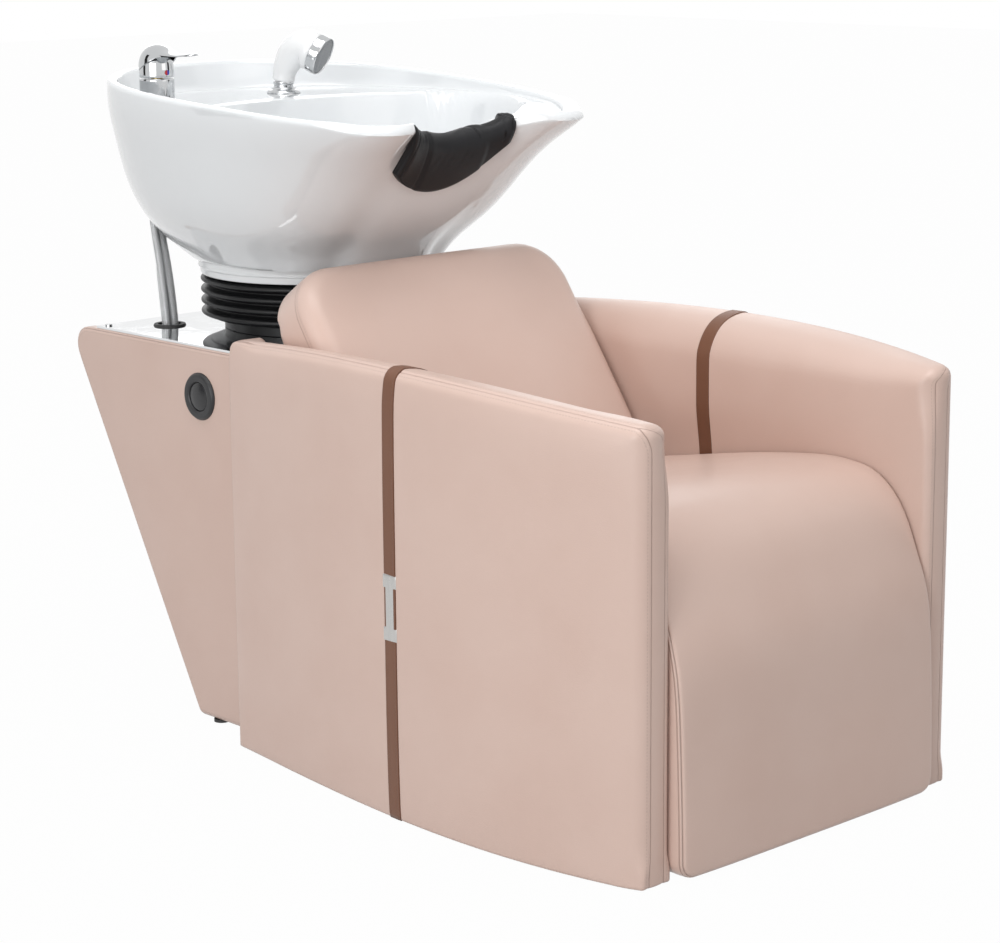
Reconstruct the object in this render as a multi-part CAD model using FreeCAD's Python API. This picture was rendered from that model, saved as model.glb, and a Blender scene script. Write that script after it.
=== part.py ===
import FreeCAD, Part
import os
from math import cos, pi, radians, sin, sqrt, tan

os.makedirs("parts", exist_ok=True)
V = FreeCAD.Vector

# A backwash unit: an armchair whose rear housing carries a tilting ceramic basin.
# Millimetres. X is across the chair, -Y is the side the sitter faces, +Z is up.
# The origin is on the floor, in the middle of the length and of the width.
# Places along the length are named as distances behind the front face of the arms.

# Driving sizes along the length
leg_overhang = 24.0
stem_setback = 160.0
basin_rear_reach = 272.0

# Arms: padded panels that bulge outward in plan
arm_length = 745.0
arm_front_half_width = 276.0
arm_widest_half_width = 316.0
arm_rear_half_width = 274.0
arm_widest_share = 0.40
arm_thickness = 46.0
arm_crown = 7.0
arm_front_height = 539.0
arm_middle_height = 563.0
arm_rear_height = 550.0
arm_top_front_radius = 30.0
arm_edge_radius = 12.0
arm_station_shares = (0.11, 0.18, 0.26, 0.34, 0.42, 0.5, 0.58, 0.66, 0.74, 0.82, 0.9)
arm_end_steps = 4

# Straps let into the arms, and their buckles
strap_place = 384.0
strap_width = 22.0
strap_inset = 1.6
strap_proud = 0.5
buckle_height = 83.0
buckle_bottom = 230.0
buckle_ear_height = 17.0
buckle_waist_width = 15.0
buckle_ear_width = 24.0
buckle_thickness = 3.0

# Feet and boards
foot_height = 4.0
foot_radius = 18.0
foot_inset = 34.0
board_thickness = 18.0
floor_board_height = 12.0
fit_gap = 1.0
seat_gap = 0.3

# Seat and leg panel, one waterfall cushion
seat_board_top = 300.0
seat_rear_gap = 7.0
seat_inner_corner = 80.0
seat_nose_radius = 12.0
seat_edge_radius = 12.0
seat_crown = 8.0
leg_crown = 4.0
seat_drawn_in = 4.0
seat_rear_thickness = 60.0
seat_middle_thickness = 93.0
seat_front_thickness = 107.0
seat_turn_thicknesses = (105.0, 96.0, 86.5, 80.0, 77.0, 77.5, 82.5)
leg_panel_flare = 4.0
leg_panel_clearance = 5.0

# Backrest, a reclined slab with a rounded top
back_foot_setback = 263.0
back_foot_rise = 82.0
back_run = 186.0
back_top_rise = 50.0
back_thickness = 82.0
back_crown = 9.0
back_edge_radius = 14.0
back_rear_radius = 20.0
back_upper_half_width = 232.0
# Share of the slab's length, and share of its thickness there
back_station_shares = ((0.0, 0.74), (0.1, 0.93), (0.25, 1.0), (0.5, 1.0), (0.75, 0.99), (0.85, 0.93),
                       (0.92, 0.8), (0.97, 0.6), (1.0, 0.34))
# Half width of the rounded top as shares of the upper half width
back_top_width_shares = (1.0, 0.995, 0.975, 0.93, 0.84)
back_board_top_share = 0.78
back_board_half_width = 188.0
back_board_thickness = 15.0
back_board_margin = 22.0
brace_place = 150.0
brace_width = 40.0
brace_depth = 38.0

# Rear housing
housing_half_width = 232.0
housing_panel_thickness = 22.0
housing_top = 520.0
housing_top_length = 373.0
housing_chamfer_length = 40.0
housing_chamfer_drop = 32.0
housing_foot_length = 145.0
cleat_width = 20.0
plate_thickness = 3.0
plate_lead = 29.0
plate_inset = 6.0
plate_screw_radius = 5.0
plate_screw_head = 2.0
plate_screw_inset = 12.0

# Hose hole and grommet in the plate
hose_hole_x = -151.0
hose_hole_place = 1042.0
grommet_radius = 23.0
grommet_bore = 16.5
grommet_lip = 2.5
grommet_wall = 3.0

# Push button on the housing's right hand side panel
button_setback = 121.0
button_drop = 65.0
bezel_radius = 32.5
bezel_proud = 6.0
bezel_bevel = 4.0
button_radius = 19.5
button_travel = 4.0
button_proud = 4.5
button_dome = 2.0
button_length = 16.0
button_clearance = 0.3
barrel_wall = 3.5
barrel_length = 34.0
switch_radius = 14.0
switch_gap = 1.0

# Bellows between the plate and the basin
bellows_height = 77.0
bellows_radius = 158.0
bellows_rib_depth = 13.0
bellows_wall = 2.5
bellows_neck_inset = 32.0
bellows_neck_height = 16.0
bellows_turns = 4
bellows_crest_share = 0.22
clamp_height = 6.0
clamp_wall = 3.0

# Basin: heights of its sections, and its plan at each
collar_height = 22.0
collar_radius = 162.0
collar_taper = 4.0
collar_wall = 12.0
rim_rise = 17.0
rim_middle_lead = 60.0
rim_slope = 0.07
basin_wall = 14.0
notch_lip_share = 1.3
basin_half_width = 268.0
basin_widest_lead = 20.0
horn_half_width = 136.0
horn_reach = 386.0
notch_depth = 83.0
notch_crest_drop = 36.0
notch_side_rise = 10.0
notch_half_width = 132.0
deck_rise = 214.0
deck_front_setback = 25.0
# Body below the deck: rise over the collar, and how far each section lies inside the rim's plan
hull_rises = (0.0, 20.0, 54.0, 108.0, 164.0)
hull_width_insets = (102.0, 84.0, 52.0, 25.0, 10.0)
hull_rear_insets = (106.0, 67.0, 39.0, 15.0, 5.0)
hull_horn_width_insets = (41.0, 40.0, 36.0, 24.0, 8.0)
hull_horn_setbacks = (245.0, 229.0, 187.0, 131.0, 67.0)
hull_notch_setbacks = (136.0, 125.0, 92.0, 46.0, 14.0)
rear_round_power = 2.3
flank_power = 2.4
rear_steps = 5
flank_shares = (0.35, 0.65, 0.86, 0.98)
notch_width_shares = (0.9, 0.7, 0.4)
notch_depth_power = 4
notch_depth_curve = 1.5
bowl_floor_rise = 46.0
bowl_floor_half_width = 92.0
bowl_floor_lead = 153.0
bowl_floor_length = 132.0
bowl_corner_share = 0.6
bowl_side_wall_share = 1.6
bowl_steps = 9
bowl_rear_power = 0.72
bowl_front_power = 0.95
bowl_side_power = 0.8
# Share of the bowl's depth, and share of its spread from floor to top
bowl_profile_shares = ((0.0, 0.0), (0.04, 0.2), (0.13, 0.42), (0.3, 0.64), (0.58, 0.84), (1.0, 1.0))
drain_lead = 70.0
drain_radius = 22.0
access_x = -140.0
access_setback = 167.0
access_radius = 42.0
hull_cavity_top_skin = 14.0

# Tilt mechanism inside the bellows
pivot_rise = 42.0
pivot_radius = 6.0
pivot_clearance = 0.05
ear_gap_half = 74.0
ear_thickness = 6.0
ear_width = 44.0
ear_foot_length = 34.0
lug_thickness = 6.0
washer_thickness = 1.6
washer_gap = 0.3
carrier_thickness = 6.0
pin_head_radius = 9.0
pin_head_length = 4.0
bolt_head_radius = 6.0
bolt_head_height = 4.0
plate_opening_radius = 40.0

# Waste fittings
strainer_radius = 30.0
strainer_thickness = 2.5
strainer_holes = 6
strainer_hole_radius = 4.0
strainer_hole_circle = 14.0
tailpiece_radius = 17.0
tailpiece_wall = 2.0
tailpiece_length = 62.0
waste_nut_radius = 30.0
waste_nut_height = 10.0
drain_hose_radius = 16.0

# Neck rest
neck_rest_half_width = 94.0
neck_rest_thickness = 10.0
neck_rest_inner_thickness = 7.0
neck_rest_crest = 9.0
neck_rest_drop = 72.0
neck_rest_gap = 0.5
neck_rest_fold = 24.0

# Mixer tap
mixer_x = -160.0
mixer_setback = 135.0
mixer_radius = 24.0
mixer_base_radius = 27.0
mixer_base_height = 4.0
mixer_body_height = 28.0
mixer_ring_gap = 1.5
mixer_cap_height = 26.0
mixer_dome_height = 12.0
mixer_shank_radius = 16.0
mixer_nut_radius = 24.0
mixer_nut_height = 8.0
cartridge_radius = 8.0
cartridge_clearance = 0.06
cartridge_depth = 20.0
lever_reach = 90.0
lever_root_width = 30.0
lever_tip_width = 17.0
lever_thickness = 5.0
lever_dip = 5.0
# Along the blade: share of its reach, dip as a share of the lever's, share of its taper
lever_line_shares = ((0.0, 0.0, 0.0), (0.35, 0.0, 0.3), (0.7, -1.0, 0.75), (1.0, 0.0, 1.0))
dot_radius = 3.5
dot_proud = 0.6

# Hand shower and its holder
shower_x = 50.0
shower_setback = 120.0
escutcheon_radius = 24.0
escutcheon_height = 6.0
sleeve_radius = 14.0
sleeve_height = 17.0
sleeve_depth = 30.0
sleeve_wall = 2.5
sleeve_nut_radius = 21.0
sleeve_nut_height = 7.0
shank_clearance = 0.08
shank_length = 52.0
head_drop = 15.0
ring_length = 15.0
face_thickness = 2.0
face_recess = 1.5
# Centre line of the handle: distance forward of the holder's axis, height over its sleeve, radius
handle_line = ((0.0, 0.0, 15.5), (4.0, 15.0, 17.0), (13.0, 30.0, 20.0),
               (28.0, 43.0, 23.5), (46.0, 48.5, 26.3), (65.0, 45.0, 28.5))
handle_tilt_shares = (1.0, 0.84, 0.64, 0.38, 0.08, -1.0)

# Hoses
supply_hose_radius = 5.5
shower_hose_radius = 5.5
hose_run_share = 0.45

# Where the hoses end inside the housing
manifold_top = 435.0
manifold_height = 30.0
manifold_depth = 40.0
manifold_reach = 86.0
manifold_place = 1044.0
outlet_place = 840.0
outlet_top = 58.0
outlet_flange_radius = 34.0
outlet_flange_height = 5.0
outlet_bore = 12.0

overrun = 5.0

# Places and heights that follow from the sizes above
seat_rear = arm_length - back_foot_setback - seat_rear_gap
housing_top_rear = arm_length + housing_top_length
housing_rear = housing_top_rear + housing_chamfer_length
housing_rear_height = housing_top - housing_chamfer_drop
housing_foot_rear = arm_length + housing_foot_length
plate_top = housing_top + plate_thickness
button_place = arm_length + button_setback
button_height = housing_top - button_drop
stem_place = arm_length + stem_setback
bellows_valley = bellows_radius - bellows_rib_depth
bellows_neck_radius = bellows_radius - bellows_neck_inset
collar_bottom = plate_top + bellows_height
collar_top = collar_bottom + collar_height
deck_height = collar_top + deck_rise
deck_front = stem_place + deck_front_setback
rim_middle_height = deck_height + rim_rise
rim_middle_place = stem_place - rim_middle_lead
basin_rear = stem_place + basin_rear_reach
basin_widest_place = stem_place - basin_widest_lead
horn_place = stem_place - horn_reach
notch_place = horn_place + notch_depth
notch_crest_height = deck_height - notch_crest_drop
notch_side_height = deck_height + notch_side_rise
bowl_floor_height = collar_top + bowl_floor_rise
bowl_floor_front = stem_place - bowl_floor_lead
bowl_floor_rear = bowl_floor_front + bowl_floor_length
drain_place = stem_place - drain_lead
access_place = stem_place + access_setback
pivot_height = plate_top + pivot_rise
neck_rest_hem = notch_crest_height - neck_rest_drop
mixer_place = stem_place + mixer_setback
shower_place = stem_place + shower_setback

front = -(leg_overhang + basin_rear) / 2


def at(distance):
    """Row Y of a place given as its distance behind the front face of the arms."""
    return front + leg_overhang + distance


def plan_coefficients():
    """Cubic that gives the arm's outer half width along its length."""
    share = arm_widest_share
    rise = arm_widest_half_width - arm_front_half_width
    end = arm_rear_half_width - arm_front_half_width
    # Three conditions: the widest value, level there, and the rear value.
    # linear + square + cube = end, with the first two solved for linear and square.
    # linear = 2 rise / share + cube share**2, square = -rise / share**2 - 2 cube share
    cube = (end - 2 * rise / share + rise / share ** 2) / (share ** 2 - 2 * share + 1)
    square = -rise / share ** 2 - 2 * cube * share
    linear = 2 * rise / share + cube * share ** 2
    return linear, square, cube


plan_linear, plan_square, plan_cube = plan_coefficients()


def arm_curve(distance):
    share = min(max(distance / arm_length, 0), 1)
    return arm_front_half_width + share * (plan_linear + share * (plan_square + share * plan_cube))


arm_knots = [0, arm_top_front_radius] + [arm_length * share for share in arm_station_shares] \
    + [arm_length - arm_edge_radius, arm_length]


def arm_outside(distance):
    """Half width over the arms at a distance behind their front face, straight between the knots."""
    distance = min(max(distance, 0), arm_length)
    for low, high in zip(arm_knots, arm_knots[1:]):
        if distance <= high:
            return arm_curve(low) + (arm_curve(high) - arm_curve(low)) * (distance - low) / (high - low)


def arm_inside(distance):
    """Half width of the space between the arms."""
    return arm_outside(distance) - arm_thickness


def save(name, shape):
    """Write one sub-part."""
    shape.exportStep("parts/" + name + ".step")


def group(shapes):
    return Part.makeCompound(list(shapes))


def block(x0, x1, y0, y1, z0, z1):
    return Part.makeBox(x1 - x0, y1 - y0, z1 - z0, V(x0, y0, z0))


def rod(radius, length, base, axis):
    return Part.makeCylinder(radius, length, base, axis)


def tube(outer, inner, length, base, axis):
    return rod(outer, length, base, axis).cut(rod(inner, length, base, axis))


def outline_x(points, x0, x1):
    """Prism along X of an outline given as (y, z) points."""
    corners = [V(x0, y, z) for y, z in points]
    face = Part.Face(Part.makePolygon(corners + corners[:1]))
    return face.extrude(V(x1 - x0, 0, 0))


def outline_z(points, z0, z1):
    """Prism along Z of an outline given as (x, y) points."""
    corners = [V(x, y, z0) for x, y in points]
    face = Part.Face(Part.makePolygon(corners + corners[:1]))
    return face.extrude(V(0, 0, z1 - z0))


def turned(points, x, y):
    """Body of revolution about a vertical axis, from (radius, z) points."""
    corners = [V(x + r, y, z) for r, z in points]
    face = Part.Face(Part.makePolygon(corners + corners[:1]))
    return face.revolve(V(x, y, 0), V(0, 0, 1), 360)


def mirror_x(shape):
    return shape.mirror(V(0, 0, 0), V(1, 0, 0))


# Arms
def arm_top(distance):
    """Height of the arm's arched top line."""
    share = distance / arm_length
    chord = arm_front_height + (arm_rear_height - arm_front_height) * share
    rise = arm_middle_height - (arm_front_height + arm_rear_height) / 2
    return chord + rise * 4 * share * (1 - share)


def arm_section(place, inset, drop, grow):
    """Upright section across the right hand arm: rounded top, outer face crowned."""
    low = foot_height if grow == 0 else foot_height - overrun
    top = arm_top(place) - drop + grow
    inner, outer = arm_inside(place) + inset - grow, arm_outside(place) - inset + grow
    radius = arm_edge_radius
    bend = radius * (1 - sqrt(0.5))
    y = at(place)

    def spot(x, z):
        return V(x, y, z)

    flank = spot(outer, top - radius)
    inner_flank = spot(inner, top - radius)
    inner_bend, outer_bend = spot(inner + bend, top - bend), spot(outer - bend, top - bend)
    crown = spot(outer + arm_crown, (low + top - radius) / 2)
    return Part.Wire([Part.makeLine(spot(inner, low), inner_flank),
                      Part.Arc(inner_flank, inner_bend, spot(inner + radius, top)).toShape(),
                      Part.makeLine(spot(inner + radius, top), spot(outer - radius, top)),
                      Part.Arc(spot(outer - radius, top), outer_bend, flank).toShape(),
                      Part.Arc(flank, crown, spot(outer, low)).toShape(),
                      Part.makeLine(spot(outer, low), spot(inner, low))])


def arm_stations():
    """Places along the arm with the rounding of its ends: set in from both faces, and drop of the top."""
    stations = []
    for i in range(arm_end_steps + 1):
        turn = pi / 2 * i / arm_end_steps
        place = arm_top_front_radius * (1 - cos(turn))
        ahead = max(arm_edge_radius - place, 0)
        stations.append((place, arm_edge_radius - sqrt(arm_edge_radius ** 2 - ahead ** 2),
                         arm_top_front_radius * (1 - sin(turn))))
    stations += [(arm_length * share, 0, 0) for share in arm_station_shares]
    for i in range(arm_end_steps + 1):
        turn = pi / 2 * (1 - i / arm_end_steps)
        inset = arm_edge_radius * (1 - sin(turn))
        stations.append((arm_length - arm_edge_radius * (1 - cos(turn)), inset, inset))
    return stations


def arm_blank(grow):
    """Padded arm panel, larger by grow."""
    sections = [arm_section(place, inset, drop, grow) for place, inset, drop in arm_stations()]
    return Part.makeLoft(sections, True, True)


def strap_slab():
    return block(0, arm_widest_half_width + arm_thickness, at(strap_place - strap_width / 2),
                 at(strap_place + strap_width / 2), foot_height, arm_middle_height + arm_thickness)


def arm_and_strap():
    """Arm with a shallow groove, and the strap that lies in the groove."""
    arm = arm_blank(0)
    core = arm_blank(-strap_inset)
    band = strap_slab().cut(core)
    hidden = block(0, arm_outside(strap_place) - arm_thickness / 2, at(0), at(arm_length), 0, seat_board_top)
    strap = band.common(arm_blank(strap_proud)).cut(hidden)
    return arm.cut(band.cut(hidden)), strap


def buckle():
    """Flat clip over the strap: two eared ends and a slim waist."""
    y = at(strap_place)
    face = arm_outside(strap_place) + arm_crown + strap_proud
    low, high = buckle_bottom, buckle_bottom + buckle_height
    wide, slim = buckle_ear_width / 2, buckle_waist_width / 2
    ear = buckle_ear_height
    shape = [(y - wide, low), (y + wide, low), (y + wide, low + ear), (y + slim, low + ear),
             (y + slim, high - ear), (y + wide, high - ear), (y + wide, high), (y - wide, high),
             (y - wide, high - ear), (y - slim, high - ear), (y - slim, low + ear), (y - wide, low + ear)]
    clip = outline_x(shape, face - buckle_thickness, face + buckle_thickness)
    return clip.cut(arm_blank(strap_proud))


# Boards between the arms
def places_between(start, end):
    """The two ends and the arm's knots between them."""
    return [start] + [knot for knot in arm_knots if start < knot < end] + [end]


def board_between_arms(start, end, low, high, gap):
    """Flat board whose sides follow the inner faces of the arms."""
    right = [(arm_inside(d) - gap, at(d)) for d in places_between(start, end)]
    left = [(-x, y) for x, y in reversed(right)]
    return outline_z(right + left, low, high)


def front_riser():
    """Upright board under the front edge of the seat, its top front corner rounded."""
    half = arm_inside(seat_inner_corner) - fit_gap
    start, low, high = at(seat_inner_corner), floor_board_height + board_thickness, seat_board_top
    board = block(-half, half, start, start + board_thickness, low, high)
    edges = [edge for edge in board.Edges if edge.BoundBox.ZMin > low and edge.BoundBox.YMax < start + fit_gap]
    return board.makeFillet(seat_nose_radius, edges)


def seat_cleat():
    """Rail screwed along the arm's inner face, under the seat board."""
    places = places_between(seat_inner_corner + board_thickness, seat_rear)
    outer = [(arm_inside(d), at(d)) for d in places]
    inner = [(arm_inside(d) - cleat_width, at(d)) for d in reversed(places)]
    top = seat_board_top - board_thickness
    return outline_z(outer + inner, top - cleat_width, top)


# Seat cushion and leg panel
def padded_section(place, height, angle, thickness, half_width, crown):
    """Cushion section standing on a line across the chair, outward at an angle from +Y."""
    out = V(0, cos(angle), sin(angle))
    base = V(0, at(place), height)
    radius = seat_edge_radius
    side = thickness - radius
    lean = half_width - seat_drawn_in
    corner = radius * (1 - sqrt(0.5))

    def point(x, up):
        return base + V(x, 0, 0) + out * up

    foot_left, foot_right = point(-lean, 0), point(lean, 0)
    left, right = point(-half_width, side), point(half_width, side)
    left_bend = point(-half_width + corner, thickness - corner)
    right_bend = point(half_width - corner, thickness - corner)
    left_top, right_top = point(-half_width + radius, thickness), point(half_width - radius, thickness)
    return Part.Wire([Part.makeLine(foot_left, left),
                      Part.Arc(left, left_bend, left_top).toShape(),
                      Part.Arc(left_top, point(0, thickness + crown), right_top).toShape(),
                      Part.Arc(right_top, right_bend, right).toShape(),
                      Part.makeLine(right, foot_right),
                      Part.makeLine(foot_right, foot_left)])


def seat_half_width(place, angle, thickness):
    nearest = min(place, place + thickness * cos(angle))
    return arm_inside(max(nearest, 0)) - fit_gap


def seat_cushion():
    """One skin from the back of the seat over the front edge down to the floor."""
    corner, top = seat_inner_corner, seat_board_top + seat_gap
    upright, level = pi / 2, pi
    hub_place, hub_height = corner + seat_nose_radius, seat_board_top - seat_nose_radius
    stations = [(seat_rear, top, upright, seat_rear_thickness, seat_crown),
                ((seat_rear + corner) / 2, top, upright, seat_middle_thickness, seat_crown),
                ((seat_rear + corner * 3) / 4, top, upright, seat_front_thickness, seat_crown)]
    turns = len(seat_turn_thicknesses) - 1
    for i, thickness in enumerate(seat_turn_thicknesses):
        angle = upright + (level - upright) * i / turns
        reach = seat_nose_radius + seat_gap
        stations.append((hub_place + reach * cos(angle), hub_height + reach * sin(angle), angle, thickness,
                         seat_crown + (leg_crown - seat_crown) * i / turns))
    low = foot_height + leg_panel_clearance
    foot_thickness = corner - seat_gap + leg_overhang - leg_crown
    for height, thickness in (((top + low) / 2, foot_thickness - leg_panel_flare), (low, foot_thickness)):
        stations.append((corner - seat_gap, height, level, thickness, leg_crown))
    sections = [padded_section(place, height, angle, thickness,
                               seat_half_width(place, angle, thickness), crown)
                for place, height, angle, thickness, crown in stations]
    return Part.makeLoft(sections, True, True)


# Backrest
back_foot_place = arm_length - back_foot_setback
back_foot_height = seat_board_top + back_foot_rise
back_rise = collar_bottom + back_top_rise - back_foot_height
back_length = sqrt(back_run ** 2 + back_rise ** 2)
back_up = V(0, back_run / back_length, back_rise / back_length)
back_rearward = V(0, back_up.z, -back_up.y)
back_foot = V(0, at(back_foot_place), back_foot_height)


def back_section(share, thickness, front_half, rear_half):
    """Section across the backrest, square to its slope."""
    base = back_foot + back_up * (back_length * share)
    near, far = back_edge_radius, back_rear_radius * thickness / back_thickness
    bend_near, bend_far = near * (1 - sqrt(0.5)), far * (1 - sqrt(0.5))

    def point(x, depth):
        return base + V(x, 0, 0) + back_rearward * depth

    def side(sign):
        front_edge = point(sign * (front_half - near), 0)
        bend = point(sign * (front_half - bend_near), bend_near)
        flank = point(sign * front_half, near)
        rear_flank = point(sign * rear_half, thickness - far)
        rear_bend = point(sign * (rear_half - bend_far), thickness - bend_far)
        rear_edge = point(sign * (rear_half - far), thickness)
        return front_edge, bend, flank, rear_flank, rear_bend, rear_edge

    right, left = side(1), side(-1)
    return Part.Wire([Part.Arc(left[0], point(0, -back_crown), right[0]).toShape(),
                      Part.Arc(right[0], right[1], right[2]).toShape(),
                      Part.makeLine(right[2], right[3]),
                      Part.Arc(right[3], right[4], right[5]).toShape(),
                      Part.makeLine(right[5], left[5]),
                      Part.Arc(left[5], left[4], left[3]).toShape(),
                      Part.makeLine(left[3], left[2]),
                      Part.Arc(left[2], left[1], left[0]).toShape()])


def backrest_cushion():
    """Slab that fits between the arms below and rounds off at the top."""
    sections = []
    flush = len(back_station_shares) - len(back_top_width_shares)
    for i, (share, depth_share) in enumerate(back_station_shares):
        thickness = back_thickness * depth_share
        place = back_foot_place + back_run * share
        if i < flush:
            front_half = arm_inside(place + back_edge_radius * back_rearward.y) - fit_gap
            rear_half = arm_inside(place + thickness * back_rearward.y) - fit_gap
        else:
            front_half = back_upper_half_width * back_top_width_shares[i - flush]
            rear_half = min(front_half, arm_inside(place + thickness * back_rearward.y) - fit_gap)
        sections.append(back_section(share, thickness, front_half, rear_half))
    return Part.makeLoft(sections, True, True)


def back_board_corners(depth):
    low = back_foot + back_up * back_board_margin * 2 + back_rearward * depth
    high = back_foot + back_up * (back_length * back_board_top_share - back_board_margin) \
        + back_rearward * depth
    return low, high


def back_board():
    near = back_board_corners(back_thickness + seat_gap)
    far = back_board_corners(back_thickness + seat_gap + back_board_thickness)
    shape = [(near[0].y, near[0].z), (near[1].y, near[1].z), (far[1].y, far[1].z), (far[0].y, far[0].z)]
    return outline_x(shape, -back_board_half_width, back_board_half_width)


def back_brace(x):
    """Upright from the floor board to the sloping back board."""
    low, high = back_board_corners(back_thickness + seat_gap + back_board_thickness)
    slope = back_up.z / back_up.y
    rear = high.y
    ahead = rear - brace_depth
    base = floor_board_height + board_thickness
    shape = [(ahead, base), (rear, base), (rear, high.z), (ahead, high.z - brace_depth * slope)]
    return outline_x(shape, x - brace_width / 2, x + brace_width / 2)


# Rear housing
def housing_slope_place(height):
    """Place of the sloping rear edge at a height under the housing's rear corner."""
    share = (height - foot_height) / (housing_rear_height - foot_height)
    return housing_foot_rear + (housing_rear - housing_foot_rear) * share


def housing_side():
    """Side panel on +X: square front edge, sloping rear edge, small top facet."""
    shape = [(at(arm_length), foot_height), (at(arm_length), housing_top), (at(housing_top_rear), housing_top),
             (at(housing_rear), housing_rear_height), (at(housing_foot_rear), foot_height)]
    return outline_x(shape, housing_half_width - housing_panel_thickness, housing_half_width)


def housing_rear_panel():
    """Sloping cover between the side panels."""
    thick = housing_panel_thickness
    inner = housing_half_width - thick
    outside = [(at(housing_top_rear), housing_top), (at(housing_rear), housing_rear_height),
               (at(housing_foot_rear), foot_height)]
    inside = [(y - thick, z) for y, z in reversed(outside)]
    return outline_x(outside + inside, -inner, inner)


def housing_inner_width():
    return housing_half_width - housing_panel_thickness


def top_plate():
    """Mirror steel plate with the hose hole and the opening under the basin's waste."""
    half = housing_half_width - plate_inset
    low, high = housing_top, housing_top + plate_thickness
    narrow = arm_inside(arm_length) - fit_gap
    front_part = block(-narrow, narrow, at(arm_length - plate_lead), at(arm_length + fit_gap), low, high)
    rear_part = block(-half, half, at(arm_length + fit_gap), at(housing_top_rear - plate_inset), low, high)
    plate = front_part.fuse(rear_part).removeSplitter()
    up = V(0, 0, 1)
    hose_hole = V(hose_hole_x, at(hose_hole_place), low)
    plate = plate.cut(rod(grommet_radius - grommet_wall, plate_thickness, hose_hole, up))
    return plate.cut(rod(plate_opening_radius, plate_thickness, V(0, at(drain_place), low), up))


def plate_screws():
    half = housing_half_width - plate_inset - plate_screw_inset
    places = (arm_length + fit_gap + plate_screw_inset, housing_top_rear - plate_inset - plate_screw_inset)
    top = housing_top + plate_thickness
    return group(rod(plate_screw_radius, plate_screw_head, V(x, at(d), top), V(0, 0, 1))
                 for x in (-half, half) for d in places)


def hose_grommet():
    """Rubber ring with a groove that grips the plate."""
    low, high = housing_top, housing_top + plate_thickness
    rim, groove, bore = grommet_radius, grommet_radius - grommet_wall, grommet_bore
    profile = [(bore, low - grommet_lip), (rim, low - grommet_lip), (rim, low), (groove, low),
               (groove, high), (rim, high), (rim - grommet_lip / 2, high + grommet_lip),
               (bore, high + grommet_lip)]
    return turned(profile, hose_hole_x, at(hose_hole_place))


# Push button
def facing_left(points):
    """Body of revolution about the button's axis, from (radius, distance outward) points."""
    x0, y0, z0 = -housing_half_width, at(button_place), button_height
    corners = [V(x0 - out, y0, z0 + r) for r, out in points]
    face = Part.Face(Part.makePolygon(corners + corners[:1]))
    return face.revolve(V(x0, y0, z0), V(1, 0, 0), 360)


def button_bezel():
    """Bevelled ring with a barrel through the panel."""
    bore = button_radius + button_clearance
    barrel = bore + barrel_wall
    return facing_left([(bore, -barrel_length), (barrel, -barrel_length), (barrel, 0), (bezel_radius, 0),
                        (bezel_radius, bezel_proud - bezel_bevel), (bezel_radius - bezel_bevel, bezel_proud),
                        (bore, bezel_proud)])


def button_cap():
    """Slightly domed cap that slides in the barrel."""
    low, side = button_proud - button_length, button_radius
    return facing_left([(0, low), (side, low), (side, button_proud - button_dome / 2),
                        (side - button_dome, button_proud), (side / 2, button_proud + button_dome / 2),
                        (0, button_proud + button_dome)])


def switch_body():
    """Switch behind the cap, on a flange that closes the barrel."""
    start = button_proud - button_length - button_travel - switch_gap
    flange = button_radius + button_clearance
    return facing_left([(0, start), (switch_radius, start), (switch_radius, -barrel_length),
                        (flange, -barrel_length), (flange, -barrel_length - barrel_wall),
                        (0, -barrel_length - barrel_wall)])


def button_hole():
    bore = button_radius + button_clearance + barrel_wall
    outside = V(-housing_half_width, at(button_place), button_height)
    return rod(bore, housing_panel_thickness, outside, V(1, 0, 0))


# Bellows
def circle_wire(radius, x, y, z):
    ring = Part.Circle(V(x, y, z), V(0, 0, 1), radius)
    return Part.Wire(ring.toShape())


def bellows():
    """Ribbed rubber sleeve: each rib goes through four circles, and the bore follows the ribs."""
    y = at(stem_place)
    top = collar_bottom - seat_gap
    low = plate_top
    start = low + bellows_neck_height
    pitch = (top - start) / bellows_turns
    stations = [(bellows_neck_radius, low)]
    for i in range(bellows_turns):
        z = start + pitch * i
        stations += [(bellows_valley, z), (bellows_radius, z + pitch * (0.5 - bellows_crest_share)),
                     (bellows_radius, z + pitch * (0.5 + bellows_crest_share))]
    stations.append((bellows_valley, top))
    skins = []
    for wall in (0, bellows_wall):
        wires = [circle_wire(r - wall, 0, y, z) for r, z in stations]
        skins.append(Part.makeLoft(wires, True, True))
    return skins[0].cut(skins[1])


def bellows_clamp():
    """Band that holds the foot of the bellows to the plate."""
    y = at(stem_place)
    outer = bellows_neck_radius - bellows_wall - seat_gap
    inner = bellows_neck_radius - bellows_wall - clamp_wall
    return tube(outer, inner, clamp_height, V(0, y, plate_top), V(0, 0, 1))


# Basin
rim_top = rim_middle_height + rim_slope * (basin_rear - rim_middle_place) + overrun * 2


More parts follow.
